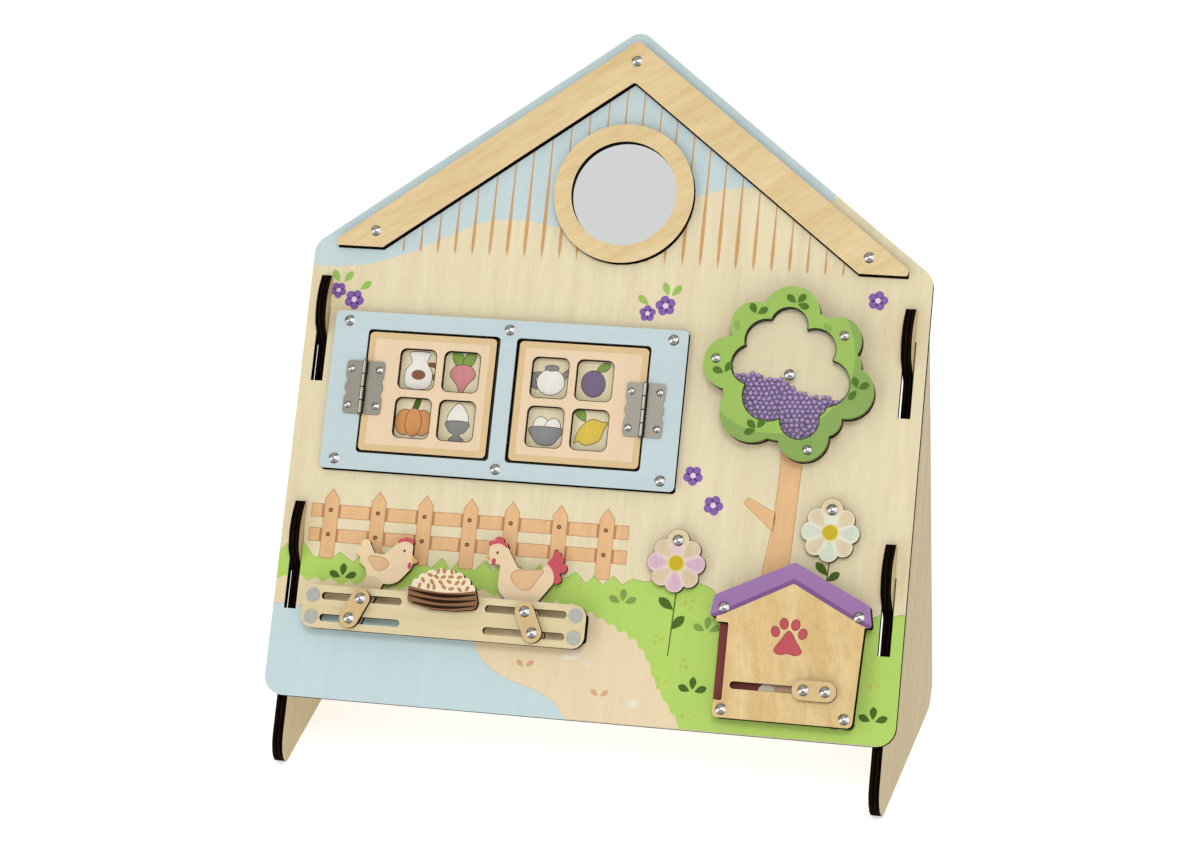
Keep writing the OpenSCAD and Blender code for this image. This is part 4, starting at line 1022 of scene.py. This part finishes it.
copies("feed_grains", grain, grain_places, ink("grain ink", "#BC8656"), 0.3, 6)


# ---- Hens ----
# Two 3 mm plywood hens that rock over the bar: cream, with a red comb and tail, a folded
# peach wing, an orange beak and a dot for an eye.

HEN_FRONT = 5.7
hen_red, hen_cream = "#C6535A", "#E8CDA7"
wing_ink = ink("wing ink", "#E8BD8E")
wing_line = ink("wing line ink", "#B07649")
beak_ink = ink("beak ink", "#DDA860")
red_ink = ink("hen red ink", hen_red)


def hen(name, x, y, side, comb, head, tail, rump, wing, eye, beak, wattle):
    """Paints one hen. Places are from its pivot, and side is 1 if it looks right, or -1"""
    def spot(p, q):
        return x + side * p, y + q

    def disc(tree, place, p, q, radius):
        return inside_disc(tree, place, *spot(p, q), radius)

    def hen_paint(tree, place):
        layers = [(1.0, hen_cream)]
        tail_red = hen_red
        if name == "hen_left":
            layers.append((disc(tree, place, 3, 5.5, 8.4), "#D8C096"))
            tail_red = "#EBCF9E"
        for outer, inner, colour in ((comb, head, hen_red), (tail, rump, tail_red)):
            layers += [(disc(tree, place, *outer), colour), (disc(tree, place, *inner), hen_cream)]
        return layers

    dress(plywood(f"printed {name.replace('_', ' ')}", paint=hen_paint,
                  stretch=(0.6, 0.5, 1), cover=1.0), name)
    wing = smooth([spot(*p) for p in wing])
    prints(f"{name}_print", [
        (wing_line, [grown(wing, 0.3)], 0.04),
        (wing_ink, [wing], 0.08),
        (beak_ink, [[spot(*p) for p in beak]], 0.1),
        (red_ink, [oval(*spot(*wattle), 1.2, 1.9)], 0.1),
        (line_ink, [oval(*spot(*eye), 0.65, 0.85, count=12)], 0.12),
    ], HEN_FRONT, name)


hen("hen_left", -125.4, 57.0, 1, (21.5, 39.2, 7.4), (20.8, 28.6, 6.3), (-5.6, 30.5, 7),
    (4.4, 25.5, 8.6), [(0.5, 25), (8.6, 24.6), (12.2, 21), (7.4, 17.4), (3, 19.6)],
    (20.6, 29.6), [(25.3, 27.4), (25.7, 23), (29.2, 23.7)], (24.5, 21.4))
hen("hen_right", -30.2, 57.0, -1, (20.4, 43.2, 8.8), (20.6, 31.6, 6.2), (-17, 28, 11.5),
    (-3.5, 20, 9.6), [(-6.6, 24.4), (2, 24), (9.6, 23), (11.2, 19.2), (8, 15), (3, 12.8),
                      (-1, 14.6), (-3.6, 19.4)], (20.6, 32.6),
    [(25.4, 31.4), (24.2, 27.6), (27.5, 29.3)], (22.3, 27.6))


# ---- Kennel ----
# A 4 mm plywood front with a purple printed roof and a paw print. The 3 mm panel behind it
# slides out to the left by its wooden link and carries simple printed shapes.

KENNEL_X, KENNEL_FRONT, PANEL_FRONT = 118.4, 10, 5.7


def kennel_paint(tree, place):
    """Roof in light purple with a darker lower band"""
    layers = []
    for drop, colour in ((2.6, "#744584"), (0, "#9B72A6")):
        ridge = [(KENNEL_X - 60, 57.5), (80, 66.9 - drop), (118.6, 87.4 - drop * 1.1),
                 (158, 66.9 - drop), (KENNEL_X + 60, 57.5)]
        wall = below(tree, place, ridge)
        roof = add(tree, "Math", {0: 1.0, 1: wall}, operation="SUBTRACT")
        layers.append((roof, colour))
    return layers


dress(plywood("kennel plywood", "#EACD98", "#CDAB6E", paint=kennel_paint,
              stretch=(0.8, 0.16, 1), turn=math.radians(12)), "kennel_front")

pad = smooth([(118.3, 58.2), (122.6, 52.5), (125.9, 47.2), (122.6, 45.2), (118.3, 46),
              (114, 45.2), (110.8, 47.2), (114, 52.5)])
toes = [oval(110.7, 57.5, 2.2, 2.8, 14), oval(115.2, 62.1, 2.2, 2.9, 6),
        oval(121.6, 61.9, 2.2, 2.9, -8), oval(125.9, 57.2, 2.2, 2.8, -18)]
prints("paw_print", [
    (ink("dark red line ink", "#7E3238"), [grown(o, 0.35) for o in [pad, *toes]], 0.04),
    (red_ink, [pad, *toes], 0.08),
], KENNEL_FRONT)

dress(plywood("wine printed plywood", paint=whole("#74262B"), gloss=0.08),
      "kennel_slide_panel")
prints("panel_print", [
    (ink("sand shape ink", "#D9B08C"), [oval(118, 28.5, 12, 9), oval(100, 40, 6, 6)], 0.06),
    (ink("cream shape ink", "#EFE0C8"), [oval(108, 24.5, 4.5, 4.5), oval(133, 33, 6, 10)], 0.1),
    (dark_leaf, [leaf(90, 44, 10, 5, 20)], 0.1),
], PANEL_FRONT, "kennel_slide")


# ---- Floor, light and camera ----
# A seamless white studio: a wide matt floor that glows a little, so that it shows white but
# keeps a shadow, an even white world, a large soft key lamp and a weaker fill from the left.

floor_mesh = bmesh.new()
bmesh.ops.create_grid(floor_mesh, x_segments=1, y_segments=1, size=12)
floor = new_object("floor", mesh_data("floor", floor_mesh))
# Matt paper with faint dust
made, tree = material("studio floor")
dust = add(tree, "TexNoise", {
    "Vector": add(tree, "TexCoord", out="Object"), "Scale": 8, "Detail": 2})
tone = add(tree, "Mix", {0: dust, 6: "#DCDEE2", 7: "#E2E4E8"}, 2, data_type="RGBA")
paper = add(tree, "BsdfPrincipled", {
    "Base Color": tone, "Roughness": 0.9, "Emission Color": "#FFFFFF", "Emission Strength": 0.6})
add(tree, "OutputMaterial", {"Surface": paper})
floor.data.materials.append(made)

world = bpy.data.worlds.new("studio")
bpy.context.scene.world = world
world.use_nodes = True
tree = world.node_tree
tree.nodes.clear()
rays = add(tree, "LightPath").node.outputs
seen = rays["Is Camera Ray"]
for other in ("Is Glossy Ray", "Is Transmission Ray"):
    seen = add(tree, "Math", {0: seen, 1: rays[other]}, operation="MAXIMUM")
plain = add(tree, "Background", {"Color": "#FFFFFF", "Strength": 0.55})
white = add(tree, "Background", {"Color": "#FFFFFF", "Strength": 1.0})
both = add(tree, "MixShader", {0: seen, 1: plain, 2: white})
add(tree, "OutputWorld", {"Surface": both})

aim = Vector((0, 0, 0.2))
for name, spot, size, power in (("key", (0.55, -2.15, 2.2), 1.0, 26),
                                ("fill", (-1.5, -1.9, 0.9), 1.4, 5)):
    lamp = bpy.data.lights.new(name, "AREA")
    lamp.shape = "DISK"
    lamp.size = size
    lamp.energy = power
    holder = new_object(name, lamp)
    holder.location = spot
    holder.rotation_euler = (aim - Vector(spot)).to_track_quat("-Z", "Y").to_euler()

# A long lens, in front of the board and a little above and to its right
camera = bpy.data.cameras.new("camera")
camera.lens = 90.3
camera.sensor_width = 36
holder = new_object("camera", camera)
holder.matrix_world = Matrix((
    (0.97688, -0.06579, 0.20339, 0.345),
    (0.21361, 0.33654, -0.91712, -1.5745),
    (-0.0081, 0.93937, 0.34282, 0.7717),
    (0, 0, 0, 1),
))
bpy.context.scene.camera = holder
bpy.context.scene.view_settings.view_transform = "Standard"
